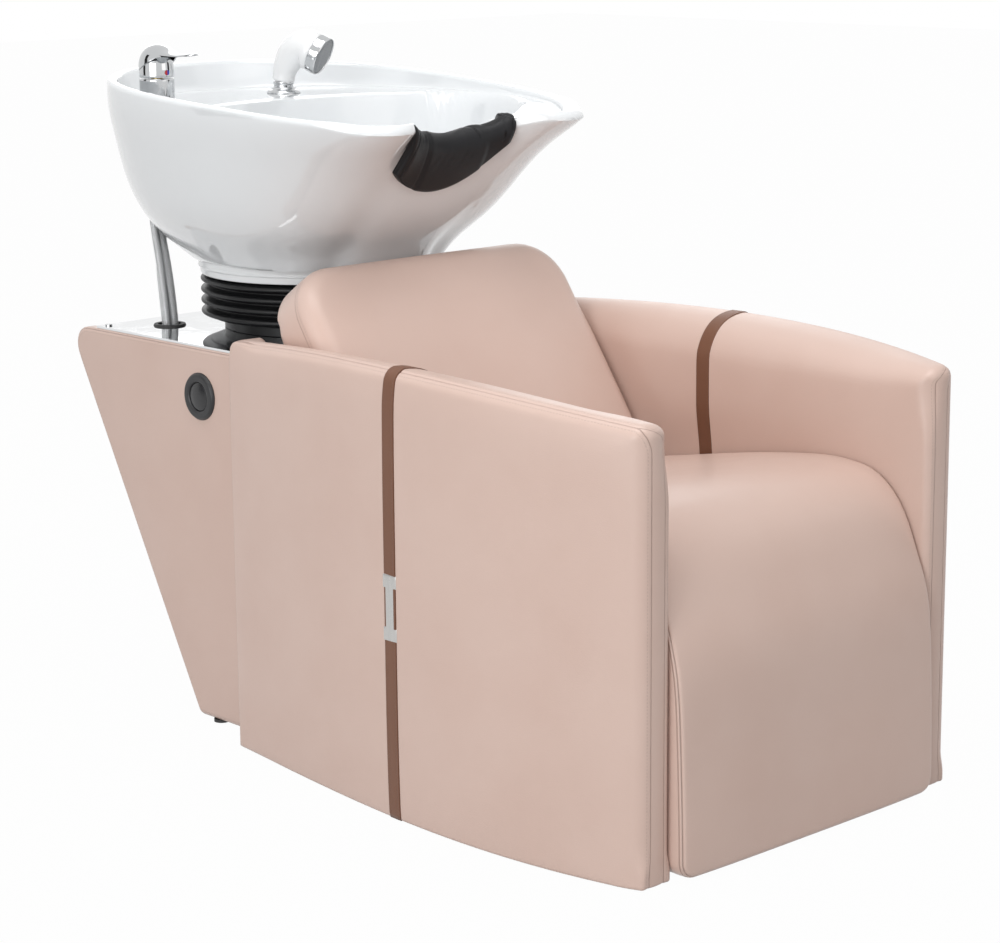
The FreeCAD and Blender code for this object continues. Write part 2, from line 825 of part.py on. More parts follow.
def shell_outline(half_width, rear, horn_half, horn, notch, height):
    """Closed plan curve: rounded rear, tapering flanks, two horns and the neck notch."""
    wide_y = at(basin_widest_place)
    rear_length = rear - basin_widest_place
    front_length = basin_widest_place - horn
    side = []
    for i in range(1, rear_steps + 1):
        turn = pi / 2 * i / rear_steps
        x = half_width * sin(turn) ** (2 / rear_round_power)
        y = wide_y + rear_length * cos(turn) ** (2 / rear_round_power)
        side.append((x, y))
    for share in flank_shares:
        x = horn_half + (half_width - horn_half) * sqrt(1 - share ** flank_power)
        side.append((x, wide_y - front_length * share))
    lip = notch - horn
    for share in notch_width_shares:
        side.append((horn_half * share, at(horn) + lip * (1 - share ** notch_depth_power) ** notch_depth_curve))
    middle_rear = [(0, wide_y + rear_length)]
    middle_front = [(0, at(notch))]
    left = [(-x, y) for x, y in reversed(side)]
    points = [V(x, y, height) for x, y in middle_rear + side + middle_front + left]
    spline = Part.BSplineCurve()
    spline.interpolate(points, True)
    return Part.Wire(spline.toShape())


def hull(grow):
    """Outer body of the basin from the collar to above the rim, larger by grow."""
    sections = []
    rows = zip(hull_rises, hull_width_insets, hull_rear_insets, hull_horn_width_insets, hull_horn_setbacks,
               hull_notch_setbacks)
    for rise, side, rear, horn_side, horn, notch in rows:
        sections.append(shell_outline(basin_half_width - side + grow, basin_rear - rear + grow,
                                      horn_half_width - horn_side + grow / 2, horn_place + horn - grow,
                                      notch_place + notch - grow, collar_top + rise))
    for height in (deck_height, rim_top):
        sections.append(shell_outline(basin_half_width + grow, basin_rear + grow, horn_half_width + grow / 2,
                                      horn_place - grow, notch_place - grow, height))
    return Part.makeLoft(sections, True, True)


def rim_cutter(lift):
    """Everything above the sloping rim, and above the arched dip between the horns."""
    wide = basin_half_width * 2
    y0, y1 = at(horn_place) - basin_wall * 2, at(basin_rear) + basin_wall * 2
    z0 = rim_middle_height + rim_slope * (y0 - at(rim_middle_place)) + lift
    z1 = rim_middle_height + rim_slope * (y1 - at(rim_middle_place)) + lift
    roof = rim_top + basin_wall * 2
    above = outline_x([(y0, z0), (y1, z1), (y1, roof), (y0, roof)], -wide, wide)
    side, dip = notch_side_height + lift, notch_crest_height + lift
    left, middle, right = V(-notch_half_width, y0, side), V(0, y0, dip), V(notch_half_width, y0, side)
    gap = Part.Wire([Part.Arc(left, middle, right).toShape(),
                     Part.makeLine(right, V(notch_half_width, y0, roof)),
                     Part.makeLine(V(notch_half_width, y0, roof), V(-notch_half_width, y0, roof)),
                     Part.makeLine(V(-notch_half_width, y0, roof), left)])
    depth = (notch_place + basin_wall * 4) - horn_place
    return above.fuse(Part.Face(gap).extrude(V(0, depth, 0)))


def bowl(shrink):
    """Hollow of the basin: a tray down to the tap deck, and the deep bowl in front of it."""
    wall = basin_wall + shrink
    tray = [shell_outline(basin_half_width - wall, basin_rear - wall, horn_half_width - wall,
                          horn_place + wall * 3, notch_place + wall * notch_lip_share, z)
            for z in (deck_height, rim_top + basin_wall)]
    tray = Part.makeLoft(tray, True, True)
    share = bowl_corner_share
    floor_front, floor_rear = bowl_floor_front + shrink, bowl_floor_rear - shrink
    floor_half = bowl_floor_half_width - shrink
    high = deck_height + overrun
    top_front, top_rear = notch_place + wall * notch_lip_share, deck_front - shrink
    top_half = basin_half_width - wall * bowl_side_wall_share
    sections = []
    for rise, spread in bowl_profile_shares:
        z = bowl_floor_height + shrink + (high - bowl_floor_height - shrink) * rise
        half = floor_half + (top_half - floor_half) * spread
        y0 = floor_front + (top_front - floor_front) * spread
        y1 = floor_rear + (top_rear - floor_rear) * spread
        sections.append(bowl_outline(half, y0, y1, share, z))
    return tray.fuse(Part.makeLoft(sections, True, True))


def bowl_outline(half, y0, y1, share, z):
    """Egg shaped outline of the deep bowl, blunt at the rear and narrower towards the neck."""
    middle = y0 + (y1 - y0) * share
    side = []
    for i in range(1, bowl_steps):
        turn = pi * i / bowl_steps
        reach = cos(turn)
        if reach > 0:
            y = middle + (y1 - middle) * reach ** bowl_rear_power
        else:
            y = middle - (middle - y0) * (-reach) ** bowl_front_power
        side.append((half * sin(turn) ** bowl_side_power, at(y)))
    left = [(-x, y) for x, y in reversed(side)]
    points = [V(x, y, z) for x, y in [(0, at(y1))] + side + [(0, at(y0))] + left]
    spline = Part.BSplineCurve()
    spline.interpolate(points, True)
    return Part.Wire(spline.toShape())


def basin():
    """Glazed shell: hull, rim, bowl, tap deck, and the open space under the deck."""
    up = V(0, 0, 1)
    shell = hull(0).cut(rim_cutter(0)).cut(bowl(0))
    behind = block(-basin_half_width, basin_half_width, at(deck_front + basin_wall * 2), at(basin_rear),
                   collar_top - overrun, deck_height - hull_cavity_top_skin)
    inner = hull(-basin_wall)
    under_deck = inner.common(behind)
    under_bowl = rod(collar_radius - collar_wall, bowl_floor_height - basin_wall - collar_top,
                     V(0, at(stem_place), collar_top), up)
    access = rod(access_radius, hull_rises[3], V(access_x, at(access_place), collar_top), up)
    shell = shell.cut(under_deck).cut(under_bowl).cut(access)
    reach = deck_height - collar_top
    holes = [rod(drain_radius, reach, V(0, at(drain_place), collar_top), up),
             rod(mixer_shank_radius, reach, V(mixer_x, at(mixer_place), collar_top + hull_rises[3]), up),
             rod(sleeve_radius, reach, V(shower_x, at(shower_place), collar_top + hull_rises[3]), up)]
    for hole in holes:
        shell = shell.cut(hole)
    return shell


def basin_collar():
    """Ring under the shell that takes the tilt carrier and closes on the bellows."""
    outer, inner = collar_radius, collar_radius - collar_wall
    z0, z1 = collar_bottom, collar_top
    return turned([(inner, z0), (outer - collar_taper, z0), (outer, z1), (inner, z1)], 0, at(stem_place))


# Tilt mechanism
def tilt_carrier():
    """Disc inside the collar with two lugs down to the pin, and a hole for the waste."""
    up = V(0, 0, 1)
    y = at(stem_place)
    z0 = collar_bottom
    disc = rod(collar_radius - collar_wall, carrier_thickness, V(0, y, z0), up)
    outer = ear_gap_half - washer_thickness - washer_gap
    lugs = []
    for sign in (-1, 1):
        x0, x1 = sorted((sign * outer, sign * (outer - lug_thickness)))
        lug = block(x0, x1, y - ear_width / 2, y + ear_width / 2, pivot_height, z0)
        lug = lug.fuse(rod(ear_width / 2, x1 - x0, V(x0, y, pivot_height), V(1, 0, 0)))
        lugs.append(lug)
    carrier = disc.fuse(lugs)
    carrier = carrier.cut(rod(waste_nut_radius + overrun, carrier_thickness, V(0, at(drain_place), z0), up))
    bore = rod(pivot_radius + pivot_clearance, ear_gap_half * 2, V(-ear_gap_half, y, pivot_height), V(1, 0, 0))
    return carrier.cut(bore).removeSplitter()


def pivot_ear(sign):
    """Upright ear with a foot on the plate."""
    y = at(stem_place)
    x0, x1 = sorted((sign * ear_gap_half, sign * (ear_gap_half + ear_thickness)))
    ear = block(x0, x1, y - ear_width / 2, y + ear_width / 2, plate_top, pivot_height)
    ear = ear.fuse(rod(ear_width / 2, x1 - x0, V(x0, y, pivot_height), V(1, 0, 0)))
    f0, f1 = sorted((sign * ear_gap_half, sign * (ear_gap_half + ear_foot_length)))
    foot = block(f0, f1, y - ear_width / 2, y + ear_width / 2, plate_top, plate_top + ear_thickness)
    bore = rod(pivot_radius, ear_thickness, V(x0, y, pivot_height), V(1, 0, 0))
    return ear.fuse(foot).cut(bore).removeSplitter()


def tilt_pin():
    y = at(stem_place)
    half = ear_gap_half + ear_thickness
    axis = V(1, 0, 0)
    pin = rod(pivot_radius, half * 2, V(-half, y, pivot_height), axis)
    heads = [rod(pin_head_radius, pin_head_length, V(-half - pin_head_length, y, pivot_height), axis),
             rod(pin_head_radius, pin_head_length, V(half, y, pivot_height), axis)]
    return pin.fuse(heads).removeSplitter()


def friction_washer(sign):
    y = at(stem_place)
    x0 = sign * ear_gap_half if sign < 0 else ear_gap_half - washer_thickness
    side = V(x0, y, pivot_height)
    return tube(ear_width / 2, pivot_radius + pivot_clearance, washer_thickness, side, V(1, 0, 0))


def bracket_bolts():
    z = plate_top + ear_thickness
    middle = ear_gap_half + (ear_thickness + ear_foot_length) / 2
    y = at(stem_place)
    places = [V(sign * middle, y + side * ear_width / 4, z) for sign in (-1, 1) for side in (-1, 1)]
    return group(rod(bolt_head_radius, bolt_head_height, place, V(0, 0, 1)) for place in places)


# Waste
def drain_strainer():
    up = V(0, 0, 1)
    y, z = at(drain_place), bowl_floor_height
    disc = rod(strainer_radius, strainer_thickness, V(0, y, z), up)
    for i in range(strainer_holes):
        turn = 2 * pi * i / strainer_holes
        centre = V(strainer_hole_circle * cos(turn), y + strainer_hole_circle * sin(turn), z)
        disc = disc.cut(rod(strainer_hole_radius, strainer_thickness, centre, up))
    return disc


def waste_tailpiece():
    base = V(0, at(drain_place), bowl_floor_height - tailpiece_length)
    return tube(tailpiece_radius, tailpiece_radius - tailpiece_wall, tailpiece_length, base, V(0, 0, 1))


def waste_nut():
    high = bowl_floor_height - basin_wall
    base = V(0, at(drain_place), high - waste_nut_height)
    return tube(waste_nut_radius, tailpiece_radius + pivot_clearance, waste_nut_height, base, V(0, 0, 1))


# Neck rest
def neck_rest():
    """Pad that hooks over the lip of the neck notch."""
    half, gap = neck_rest_half_width, neck_rest_gap
    around = hull(neck_rest_thickness).cut(rim_cutter(neck_rest_crest)).cut(bowl(neck_rest_inner_thickness))
    lip = hull(gap).cut(rim_cutter(gap)).cut(bowl(gap))
    top = notch_side_height + neck_rest_crest
    inside = at(notch_place + basin_wall * notch_lip_share + neck_rest_inner_thickness)
    fold = notch_crest_height - neck_rest_fold
    over = block(-half, half, at(horn_place), inside, fold, top)
    flap = block(-half, half, at(horn_place), inside, neck_rest_hem, fold)
    pad = around.common(over.fuse(flap)).cut(lip)
    return max(pad.Solids, key=lambda solid: solid.Volume)


# Mixer tap
mixer_floor = deck_height
mixer_ring = deck_height + mixer_base_height + mixer_body_height


def mixer_base():
    x, y, z = mixer_x, at(mixer_place), mixer_floor
    wide, slim, top = mixer_base_radius, mixer_shank_radius, z + mixer_base_height
    return turned([(slim, z), (wide, z), (wide, z + mixer_base_height / 2), (mixer_radius, top), (slim, top)], x, y)


def mixer_body():
    """Body over the deck with its threaded shank through it and a well for the cartridge."""
    x, y = mixer_x, at(mixer_place)
    z = mixer_floor + mixer_base_height
    under = deck_height - hull_cavity_top_skin - mixer_nut_height * 2
    well = mixer_ring - cartridge_depth
    return turned([(0, under), (mixer_shank_radius - fit_gap / 2, under), (mixer_shank_radius - fit_gap / 2, z),
                   (mixer_radius, z), (mixer_radius, mixer_ring),
                   (cartridge_radius + cartridge_clearance, mixer_ring),
                   (cartridge_radius + cartridge_clearance, well), (0, well)], x, y)


def mixer_nut():
    top = deck_height - hull_cavity_top_skin
    return tube(mixer_nut_radius, mixer_shank_radius - fit_gap / 2 + pivot_clearance, mixer_nut_height,
                V(mixer_x, at(mixer_place), top - mixer_nut_height), V(0, 0, 1))


def mixer_cartridge():
    """Stem that turns in the body's well and carries the lever."""
    x, y = mixer_x, at(mixer_place)
    low = mixer_ring - cartridge_depth + seat_gap
    return rod(cartridge_radius, mixer_ring + mixer_ring_gap - low, V(x, y, low), V(0, 0, 1))


def mixer_lever():
    """Capped lever: a domed cap and a blade that sweeps forward and flicks up at its tip."""
    x, y = mixer_x, at(mixer_place)
    low = mixer_ring + mixer_ring_gap + seat_gap
    shoulder = low + mixer_cap_height
    top = shoulder + mixer_dome_height
    side, dome = mixer_radius, mixer_dome_height
    cap = turned([(0, low), (side, low), (side, shoulder - dome), (side - dome / 4, shoulder),
                  (side / 2, top - dome / 4), (0, top)], x, y)
    blade = []
    for reach_share, dip_share, taper_share in lever_line_shares:
        width = lever_root_width + (lever_tip_width - lever_root_width) * taper_share
        base = V(x, y - lever_reach * reach_share, shoulder - lever_thickness + lever_dip * dip_share)
        corners = [base + V(-width / 2, 0, 0), base + V(width / 2, 0, 0),
                   base + V(width / 2, 0, lever_thickness), base + V(-width / 2, 0, lever_thickness)]
        blade.append(Part.makePolygon(corners + corners[:1]))
    return cap.fuse(Part.makeLoft(blade, True, True)).removeSplitter()


def mixer_dot():
    """Round hot and cold mark on the front of the cap."""
    x, y = mixer_x, at(mixer_place)
    z = mixer_ring + mixer_ring_gap + seat_gap + mixer_dome_height / 2
    side = mixer_radius
    return rod(dot_radius, side + dot_proud, V(x, y, z), V(0, -1, 0)).cut(
        rod(side, mixer_cap_height, V(x, y, z - dot_radius * 2), V(0, 0, 1)))


# Hand shower
sleeve_top = deck_height + sleeve_height


def shower_escutcheon():
    x, y, z = shower_x, at(shower_place), deck_height
    wide, slim = escutcheon_radius, sleeve_radius
    top = z + escutcheon_height
    return turned([(slim, z), (wide, z), (wide, z + escutcheon_height / 3), (slim + escutcheon_height / 2, top),
                   (slim, top)], x, y)


def shower_sleeve():
    """Tube through the deck that the handle's shank stands in."""
    low = deck_height - hull_cavity_top_skin - sleeve_depth / 2
    outer, base = sleeve_radius - seat_gap, V(shower_x, at(shower_place), low)
    return tube(outer, sleeve_radius - sleeve_wall, sleeve_top - low, base, V(0, 0, 1))


def shower_nut():
    top = deck_height - hull_cavity_top_skin
    return tube(sleeve_nut_radius, sleeve_radius - seat_gap, sleeve_nut_height,
                V(shower_x, at(shower_place), top - sleeve_nut_height), V(0, 0, 1))


def handle_section(forward, height, radius, tilt):
    normal = V(0, -cos(tilt), sin(tilt))
    centre = V(shower_x, at(shower_place) - forward, sleeve_top + seat_gap + height)
    return Part.Wire(Part.Circle(centre, normal, radius).toShape())


def handle_tilt(share):
    """Direction of the centre line: straight up at 1, level at 0, down by the head's drop at -1."""
    return pi / 2 * share if share >= 0 else radians(head_drop) * share


def shower_handle():
    """Elbow shaped grip with a straight shank that stands in the sleeve."""
    sections = [handle_section(forward, height, radius, handle_tilt(share))
                for (forward, height, radius), share in zip(handle_line, handle_tilt_shares)]
    grip = Part.makeLoft(sections, True, True)
    shank = rod(sleeve_radius - sleeve_wall - shank_clearance, shank_length,
                V(shower_x, at(shower_place), sleeve_top + seat_gap - shank_length), V(0, 0, 1))
    return grip.fuse(shank).removeSplitter()


def head_frame():
    forward, height, radius = handle_line[-1]
    drop = radians(head_drop)
    centre = V(shower_x, at(shower_place) - forward, sleeve_top + seat_gap + height)
    return centre, V(0, -cos(drop), -sin(drop)), radius


def shower_ring():
    centre, out, radius = head_frame()
    return tube(radius, radius - sleeve_wall, ring_length, centre, out)


def spray_face():
    centre, out, radius = head_frame()
    start = centre + out * (ring_length - face_recess - face_thickness)
    return rod(radius - sleeve_wall - pivot_clearance, face_thickness, start, out)


# Hoses
def smooth_tube(name, route, radius):
    """Tube on straight runs joined by tangent arcs, each as large as its two runs allow."""
    points = [V(x, at(y), z) for x, y, z in route]
    edges = []
    start = points[0]
    radii = []
    length = 0
    for before, corner, after in zip(points, points[1:], points[2:]):
        back_way, on_way = before - corner, after - corner
        trim = hose_run_share * min(back_way.Length, on_way.Length)
        bend = back_way.normalize()
        onward = on_way.normalize()
        turn = pi - bend.getAngle(onward)
        arc_radius = trim / tan(turn / 2)
        radii.append(round(arc_radius, 1))
        first, last = corner + bend * trim, corner + onward * trim
        inward = (bend + onward).normalize()
        centre = corner + inward * sqrt(arc_radius ** 2 + trim ** 2)
        middle = centre - inward * arc_radius
        edges.append(Part.makeLine(start, first))
        edges.append(Part.Arc(first, middle, last).toShape())
        length += (first - start).Length + arc_radius * turn
        start = last
    edges.append(Part.makeLine(start, points[-1]))
    length += (points[-1] - start).Length
    path = Part.Wire(edges)
    way = (points[1] - points[0]).normalize()
    ring = Part.Wire(Part.Circle(points[0], way, radius).toShape())
    pipe = path.makePipeShell([ring], True, False)
    print(name, "bend radii", radii, "length", round(length, 1),
          "volume share", round(pipe.Volume / (pi * radius ** 2 * length), 4))
    return pipe


def hose_manifold():
    """Block on the inside of the housing's side that the three water hoses screw into."""
    wall = -housing_inner_width()
    return block(wall, wall + manifold_reach, at(manifold_place - manifold_depth / 2),
                 at(manifold_place + manifold_depth / 2), manifold_top - manifold_height, manifold_top)


def drain_outlet():
    """Flanged spigot on the housing's floor that the drain hose ends on."""
    low = floor_board_height + board_thickness
    flange = low + outlet_flange_height
    return turned([(outlet_bore, low), (outlet_flange_radius, low), (outlet_flange_radius, flange),
                   (drain_hose_radius, flange), (drain_hose_radius, outlet_top), (outlet_bore, outlet_top)],
                  0, at(outlet_place))


# Routes as (x, distance behind the arms' front, height)
hot_route = [(-166, 1040, 805.4), (-166, 1040, 775), (-165, 1049, 745), (-162, 1060, 712),
             (-158, 1064, 680), (-156, 1061, 645), (-156, 1052, 605), (-157, 1043, 560),
             (-157.5, 1038.5, 515), (-158, 1038, 470), (-158, 1038, 435)]
cold_route = [(-154, 1040, 805.4), (-154, 1040, 775), (-152, 1050, 745), (-147, 1062, 712),
              (-144, 1068, 680), (-142.5, 1065, 645), (-142.5, 1054, 605), (-143.5, 1044.5, 560),
              (-144.3, 1038.5, 515), (-144, 1037, 470), (-144, 1037, 435)]
shower_route = [(50, 1025, 800.5), (50, 1025, 772), (40, 1031, 742), (12, 1045, 716), (-26, 1062, 702),
                (-64, 1076, 694), (-98, 1085, 682), (-124, 1087, 652), (-140, 1077, 607), (-148, 1060, 562),
                (-151, 1050.5, 520), (-151, 1049, 475), (-151, 1049, 435)]
drain_route = [(0, 835, 605.7), (0, 835, 560), (0, 837.5, 500), (0, 846, 400), (0, 844, 260), (0, 840, 140),
               (0, 840, 58)]


def write_all():
    arm, strap = arm_and_strap()
    clip = buckle()
    for name, piece in (("arm", arm), ("strap", strap), ("buckle", clip)):
        save(name + "_left", piece)
        save(name + "_right", mirror_x(piece))

    arm_middle = arm_thickness / 2
    half_panel = housing_panel_thickness / 2
    feet = [(arm_outside(d) - arm_middle, d, foot_radius) for d in (foot_inset, arm_length - foot_inset)]
    feet.append((housing_half_width - half_panel, housing_foot_rear - foot_inset, half_panel))
    save("feet", group(rod(radius, foot_height, V(sign * x, at(d), 0), V(0, 0, 1))
                       for x, d, radius in feet for sign in (-1, 1)))

    low = floor_board_height
    save("floor_board", board_between_arms(seat_inner_corner, arm_length - board_thickness, low,
                                           low + board_thickness, fit_gap))
    save("front_riser", front_riser())
    save("seat_board", board_between_arms(seat_inner_corner + board_thickness, seat_rear,
                                          seat_board_top - board_thickness, seat_board_top, fit_gap))
    cleat = seat_cleat()
    save("seat_cleats", group([cleat, mirror_x(cleat)]))
    save("seat_cushion", seat_cushion())
    save("backrest_cushion", backrest_cushion())
    save("back_board", back_board())
    save("back_braces", group([back_brace(-brace_place), back_brace(brace_place)]))

    side = housing_side()
    save("housing_side_left", side)
    save("housing_side_right", mirror_x(side).cut(button_hole()))
    save("housing_rear_panel", housing_rear_panel())
    inner = housing_inner_width()
    wall = at(arm_length)
    narrow = arm_inside(arm_length)
    save("housing_front_panel", block(-narrow, narrow, wall - board_thickness, wall, low, housing_top))
    cleats = [block(x0, x1, wall, wall + cleat_width, low + board_thickness, housing_top)
              for x0, x1 in ((-inner, -inner + cleat_width), (inner - cleat_width, inner))]
    save("corner_cleats", group(cleats))
    floor_rear = at(housing_slope_place(low) - housing_panel_thickness)
    save("housing_floor", block(-inner, inner, wall, floor_rear, low, low + board_thickness))
    save("top_plate", top_plate())
    save("plate_screws", plate_screws())
    save("hose_grommet", hose_grommet())

    save("button_bezel", button_bezel())
    save("button_cap", button_cap())
    save("switch_body", switch_body())

    save("bellows", bellows())
    save("bellows_clamp", bellows_clamp())
    save("basin", basin())
    save("basin_collar", basin_collar())
    save("tilt_carrier", tilt_carrier())
    save("pivot_ears", group([pivot_ear(-1), pivot_ear(1)]))
    save("tilt_pin", tilt_pin())
    save("friction_washers", group([friction_washer(-1), friction_washer(1)]))
    save("bracket_bolts", bracket_bolts())

    save("drain_strainer", drain_strainer())
    save("waste_tailpiece", waste_tailpiece())
    save("waste_nut", waste_nut())
    save("neck_rest", neck_rest())

    save("mixer_base", mixer_base())
    save("mixer_body", mixer_body())
    save("mixer_nut", mixer_nut())
    save("mixer_cartridge", mixer_cartridge())
    save("mixer_lever", mixer_lever())
    save("mixer_dot", mixer_dot())

    save("shower_escutcheon", shower_escutcheon())
    save("shower_sleeve", shower_sleeve())
    save("shower_nut", shower_nut())
    save("shower_handle", shower_handle())
    save("shower_ring", shower_ring())
    save("spray_face", spray_face())

    save("hot_hose", smooth_tube("hot_hose", hot_route, supply_hose_radius))
    save("cold_hose", smooth_tube("cold_hose", cold_route, supply_hose_radius))
    save("shower_hose", smooth_tube("shower_hose", shower_route, shower_hose_radius))
    save("drain_hose", smooth_tube("drain_hose", drain_route, drain_hose_radius))
    save("hose_manifold", hose_manifold())
    save("drain_outlet", drain_outlet())


write_all()
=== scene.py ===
# %% [markdown]
# # A hair washing bed, step by step
# The real thing is a salon armchair with a housing behind it. The housing carries a ceramic basin
# that tilts, a mixer tap and a hand shower. The CAD model gives every piece its place, in metres,
# with the sitter facing -Y. Here each visible piece gets its finished shape and its material.

# %% Load the CAD frame
import math

import bpy
import numpy as np
from mathutils import Matrix, Vector, noise


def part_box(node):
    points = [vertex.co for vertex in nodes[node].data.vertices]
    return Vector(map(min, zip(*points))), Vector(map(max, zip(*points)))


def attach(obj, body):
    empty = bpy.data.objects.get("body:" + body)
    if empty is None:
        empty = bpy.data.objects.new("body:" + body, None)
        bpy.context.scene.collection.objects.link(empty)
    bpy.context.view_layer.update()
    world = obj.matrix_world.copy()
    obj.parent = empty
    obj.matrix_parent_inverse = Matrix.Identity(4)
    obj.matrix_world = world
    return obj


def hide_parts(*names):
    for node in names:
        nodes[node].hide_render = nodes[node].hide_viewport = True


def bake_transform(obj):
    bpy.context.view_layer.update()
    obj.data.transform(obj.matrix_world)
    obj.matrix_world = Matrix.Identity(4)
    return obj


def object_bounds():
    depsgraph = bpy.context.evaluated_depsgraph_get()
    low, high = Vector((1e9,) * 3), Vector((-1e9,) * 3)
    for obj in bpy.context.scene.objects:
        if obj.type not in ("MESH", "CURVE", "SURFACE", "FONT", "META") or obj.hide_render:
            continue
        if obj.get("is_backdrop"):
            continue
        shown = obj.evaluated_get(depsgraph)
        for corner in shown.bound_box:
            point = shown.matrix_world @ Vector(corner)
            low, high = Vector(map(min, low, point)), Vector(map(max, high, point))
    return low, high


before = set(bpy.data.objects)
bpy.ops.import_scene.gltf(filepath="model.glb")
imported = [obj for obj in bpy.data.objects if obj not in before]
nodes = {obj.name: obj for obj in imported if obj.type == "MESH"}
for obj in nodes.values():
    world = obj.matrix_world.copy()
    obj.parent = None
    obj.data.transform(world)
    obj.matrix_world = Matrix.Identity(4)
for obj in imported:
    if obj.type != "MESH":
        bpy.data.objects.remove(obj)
cad_low, cad_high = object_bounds()
ARM_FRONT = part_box("arm_left")[0].y
print("CAD box", [round(v, 3) for v in (*cad_low, *cad_high)])

# %% [markdown]
# ## Places
# A chair maker measures from the front face of the arms, so the same is done here. A place is
# x across the chair, the distance behind the arms' front, and the height, all in millimetres. Three
# places are needed often: the upright axis of the basin, and where the tap and the shower stand.

# %% From a maker's millimetres to Blender's metres
STEM, TAP, SHOWER = 905.0, (-160, 1040), (50, 1025)


def place(x, behind, height):
    return Vector((x / 1000, ARM_FRONT + behind / 1000, height / 1000))


def places(rows):
    rows = np.asarray(rows, float)
    return rows / 1000 + np.array([0, ARM_FRONT, 0])


def smooth(value):
    value = np.clip(value, 0, 1)
    return value * value * (3 - 2 * value)


# %% [markdown]
# ## Camera
# The photograph is a product shot from the front left, a little above the basin. Its right angles
# gave the turn, the pitch, a slight roll and the focal length, so the camera is set from numbers
# and never nudged by eye.

# %% Camera
turn, pitch, roll = math.radians(-43.123), math.radians(12.289), math.radians(-0.474)
back = Vector((math.sin(turn) * math.cos(pitch), -math.cos(turn) * math.cos(pitch), math.sin(pitch)))
level_right = Vector((math.cos(turn), math.sin(turn), 0))
level_up = back.cross(level_right)
right = level_right * math.cos(roll) + level_up * math.sin(roll)
up = level_up * math.cos(roll) - level_right * math.sin(roll)
bpy.ops.object.camera_add(location=place(-2360.75, -1993.25, 1120))
camera = bpy.context.object
camera.name = "camera"
camera.matrix_world = Matrix.Translation(camera.location) @ Matrix((right, up, back)).transposed().to_4x4()
camera.data.sensor_width = 36
camera.data.lens = 2682.5 / 1000 * 36
bpy.context.scene.camera = camera
print("lens", round(camera.data.lens, 2), "mm")


# %% [markdown]
# ## Small helpers
# An operator acts on whatever is selected, so everything is deselected before a new piece starts.
# A finished piece keeps its place in its mesh: its object sits at the origin, unturned.

# %% Starting and finishing a piece
def select_none():
    if bpy.context.object and bpy.context.object.mode != "OBJECT":
        bpy.ops.object.mode_set(mode="OBJECT")
    bpy.ops.object.select_all(action="DESELECT")


def only(piece):
    select_none()
    piece.select_set(True)
    bpy.context.view_layer.objects.active = piece


def rest_at_origin(piece):
    only(piece)
    bpy.ops.object.transform_apply(location=True, rotation=True, scale=True)


def start_piece(name, points, edges, faces):
    """A new piece, in edit mode with everything selected."""
    mesh = bpy.data.meshes.new(name)
    mesh.from_pydata(points, edges, faces)
    piece = bpy.data.objects.new(name, mesh)
    bpy.context.scene.collection.objects.link(piece)
    only(piece)
    bpy.ops.object.mode_set(mode="EDIT")
    bpy.ops.mesh.select_all(action="SELECT")
    return piece


def mesh_piece(name, points, faces):
    """A piece from points in metres and faces, turned outwards."""
    piece = start_piece(name, np.asarray(points, float).tolist(), [], [list(face) for face in faces])
    bpy.ops.mesh.normals_make_consistent(inside=False)
    bpy.ops.object.mode_set(mode="OBJECT")
    bpy.ops.object.shade_smooth()
    return piece


def apply_modifier(piece, kind, **settings):
    only(piece)
    modifier = piece.modifiers.new(kind.lower(), kind)
    for name, value in settings.items():
        setattr(modifier, name, value)
    bpy.ops.object.modifier_apply(modifier=modifier.name)


def cut_away(piece, tool):
    apply_modifier(piece, "BOOLEAN", object=tool, operation="DIFFERENCE", solver="EXACT")
    bpy.data.objects.remove(tool)


def joined(piece, other):
    """Two objects made one."""
    only(piece)
    other.select_set(True)
    bpy.ops.object.join()
    return piece


def attribute(piece, name, values):
    layer = piece.data.attributes.new(name, "FLOAT", "POINT")
    layer.data.foreach_set("value", np.asarray(values, np.float32))


def hand_over(piece, name, material, slot, body, *stands_for):
    """Name a finished piece, give it its material, and let it move with its body."""
    piece.name = name
    piece.data.materials.clear()
    piece.data.materials.append(material)
    if body:
        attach(piece, body)
    if stands_for:
        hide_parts(*stands_for)
    print(name, len(piece.data.polygons), "faces")
    return piece


# %% [markdown]
# ## Nets and smooth lines
# Many pieces are nets: rings of points, one after the other, and the faces between them are always
# counted in the same way. A smooth line through given points is a cubic spline. One small set of
# equations gives its bend at every point, and a cubic fills in between each two of them.

# %% Faces of a net, and splines
def net_faces(rings, sides, looped=False):
    """Faces between rings of points. The ends are capped, or the last ring meets the first."""
    faces = []
    for i in range(rings if looped else rings - 1):
        near, far = i * sides, (i + 1) % rings * sides
        faces += [(near + j, near + (j + 1) % sides, far + (j + 1) % sides, far + j) for j in range(sides)]
    if not looped:
        faces += [tuple(range(sides)), tuple(range((rings - 1) * sides, rings * sides))]
    return faces


def chord_lengths(points):
    """Distance from the first point to each one, along the straight chords between them."""
    return np.concatenate([[0], np.cumsum(np.linalg.norm(np.diff(points, axis=0), axis=1))])


def spline_bends(steps, points):
    """How sharply a smooth line bends at each of its points."""
    system, right_side = np.eye(len(points)), np.zeros_like(points)
    for i in range(1, len(points) - 1):
        system[i, i - 1:i + 2] = steps[i - 1], 2 * (steps[i - 1] + steps[i]), steps[i]
        right_side[i] = 6 * ((points[i + 1] - points[i]) / steps[i] - (points[i] - points[i - 1]) / steps[i - 1])
    return np.linalg.solve(system, right_side.reshape(len(points), -1)).reshape(points.shape)


def spline_between(one, other, bend, next_bend, step, way):
    """The cubic between two points, some way along the step from one to the other."""
    slope = (other - one) / step - step * (2 * bend + next_bend) / 6
    return one + way * (slope + way * (bend / 2 + way * (next_bend - bend) / (6 * step)))


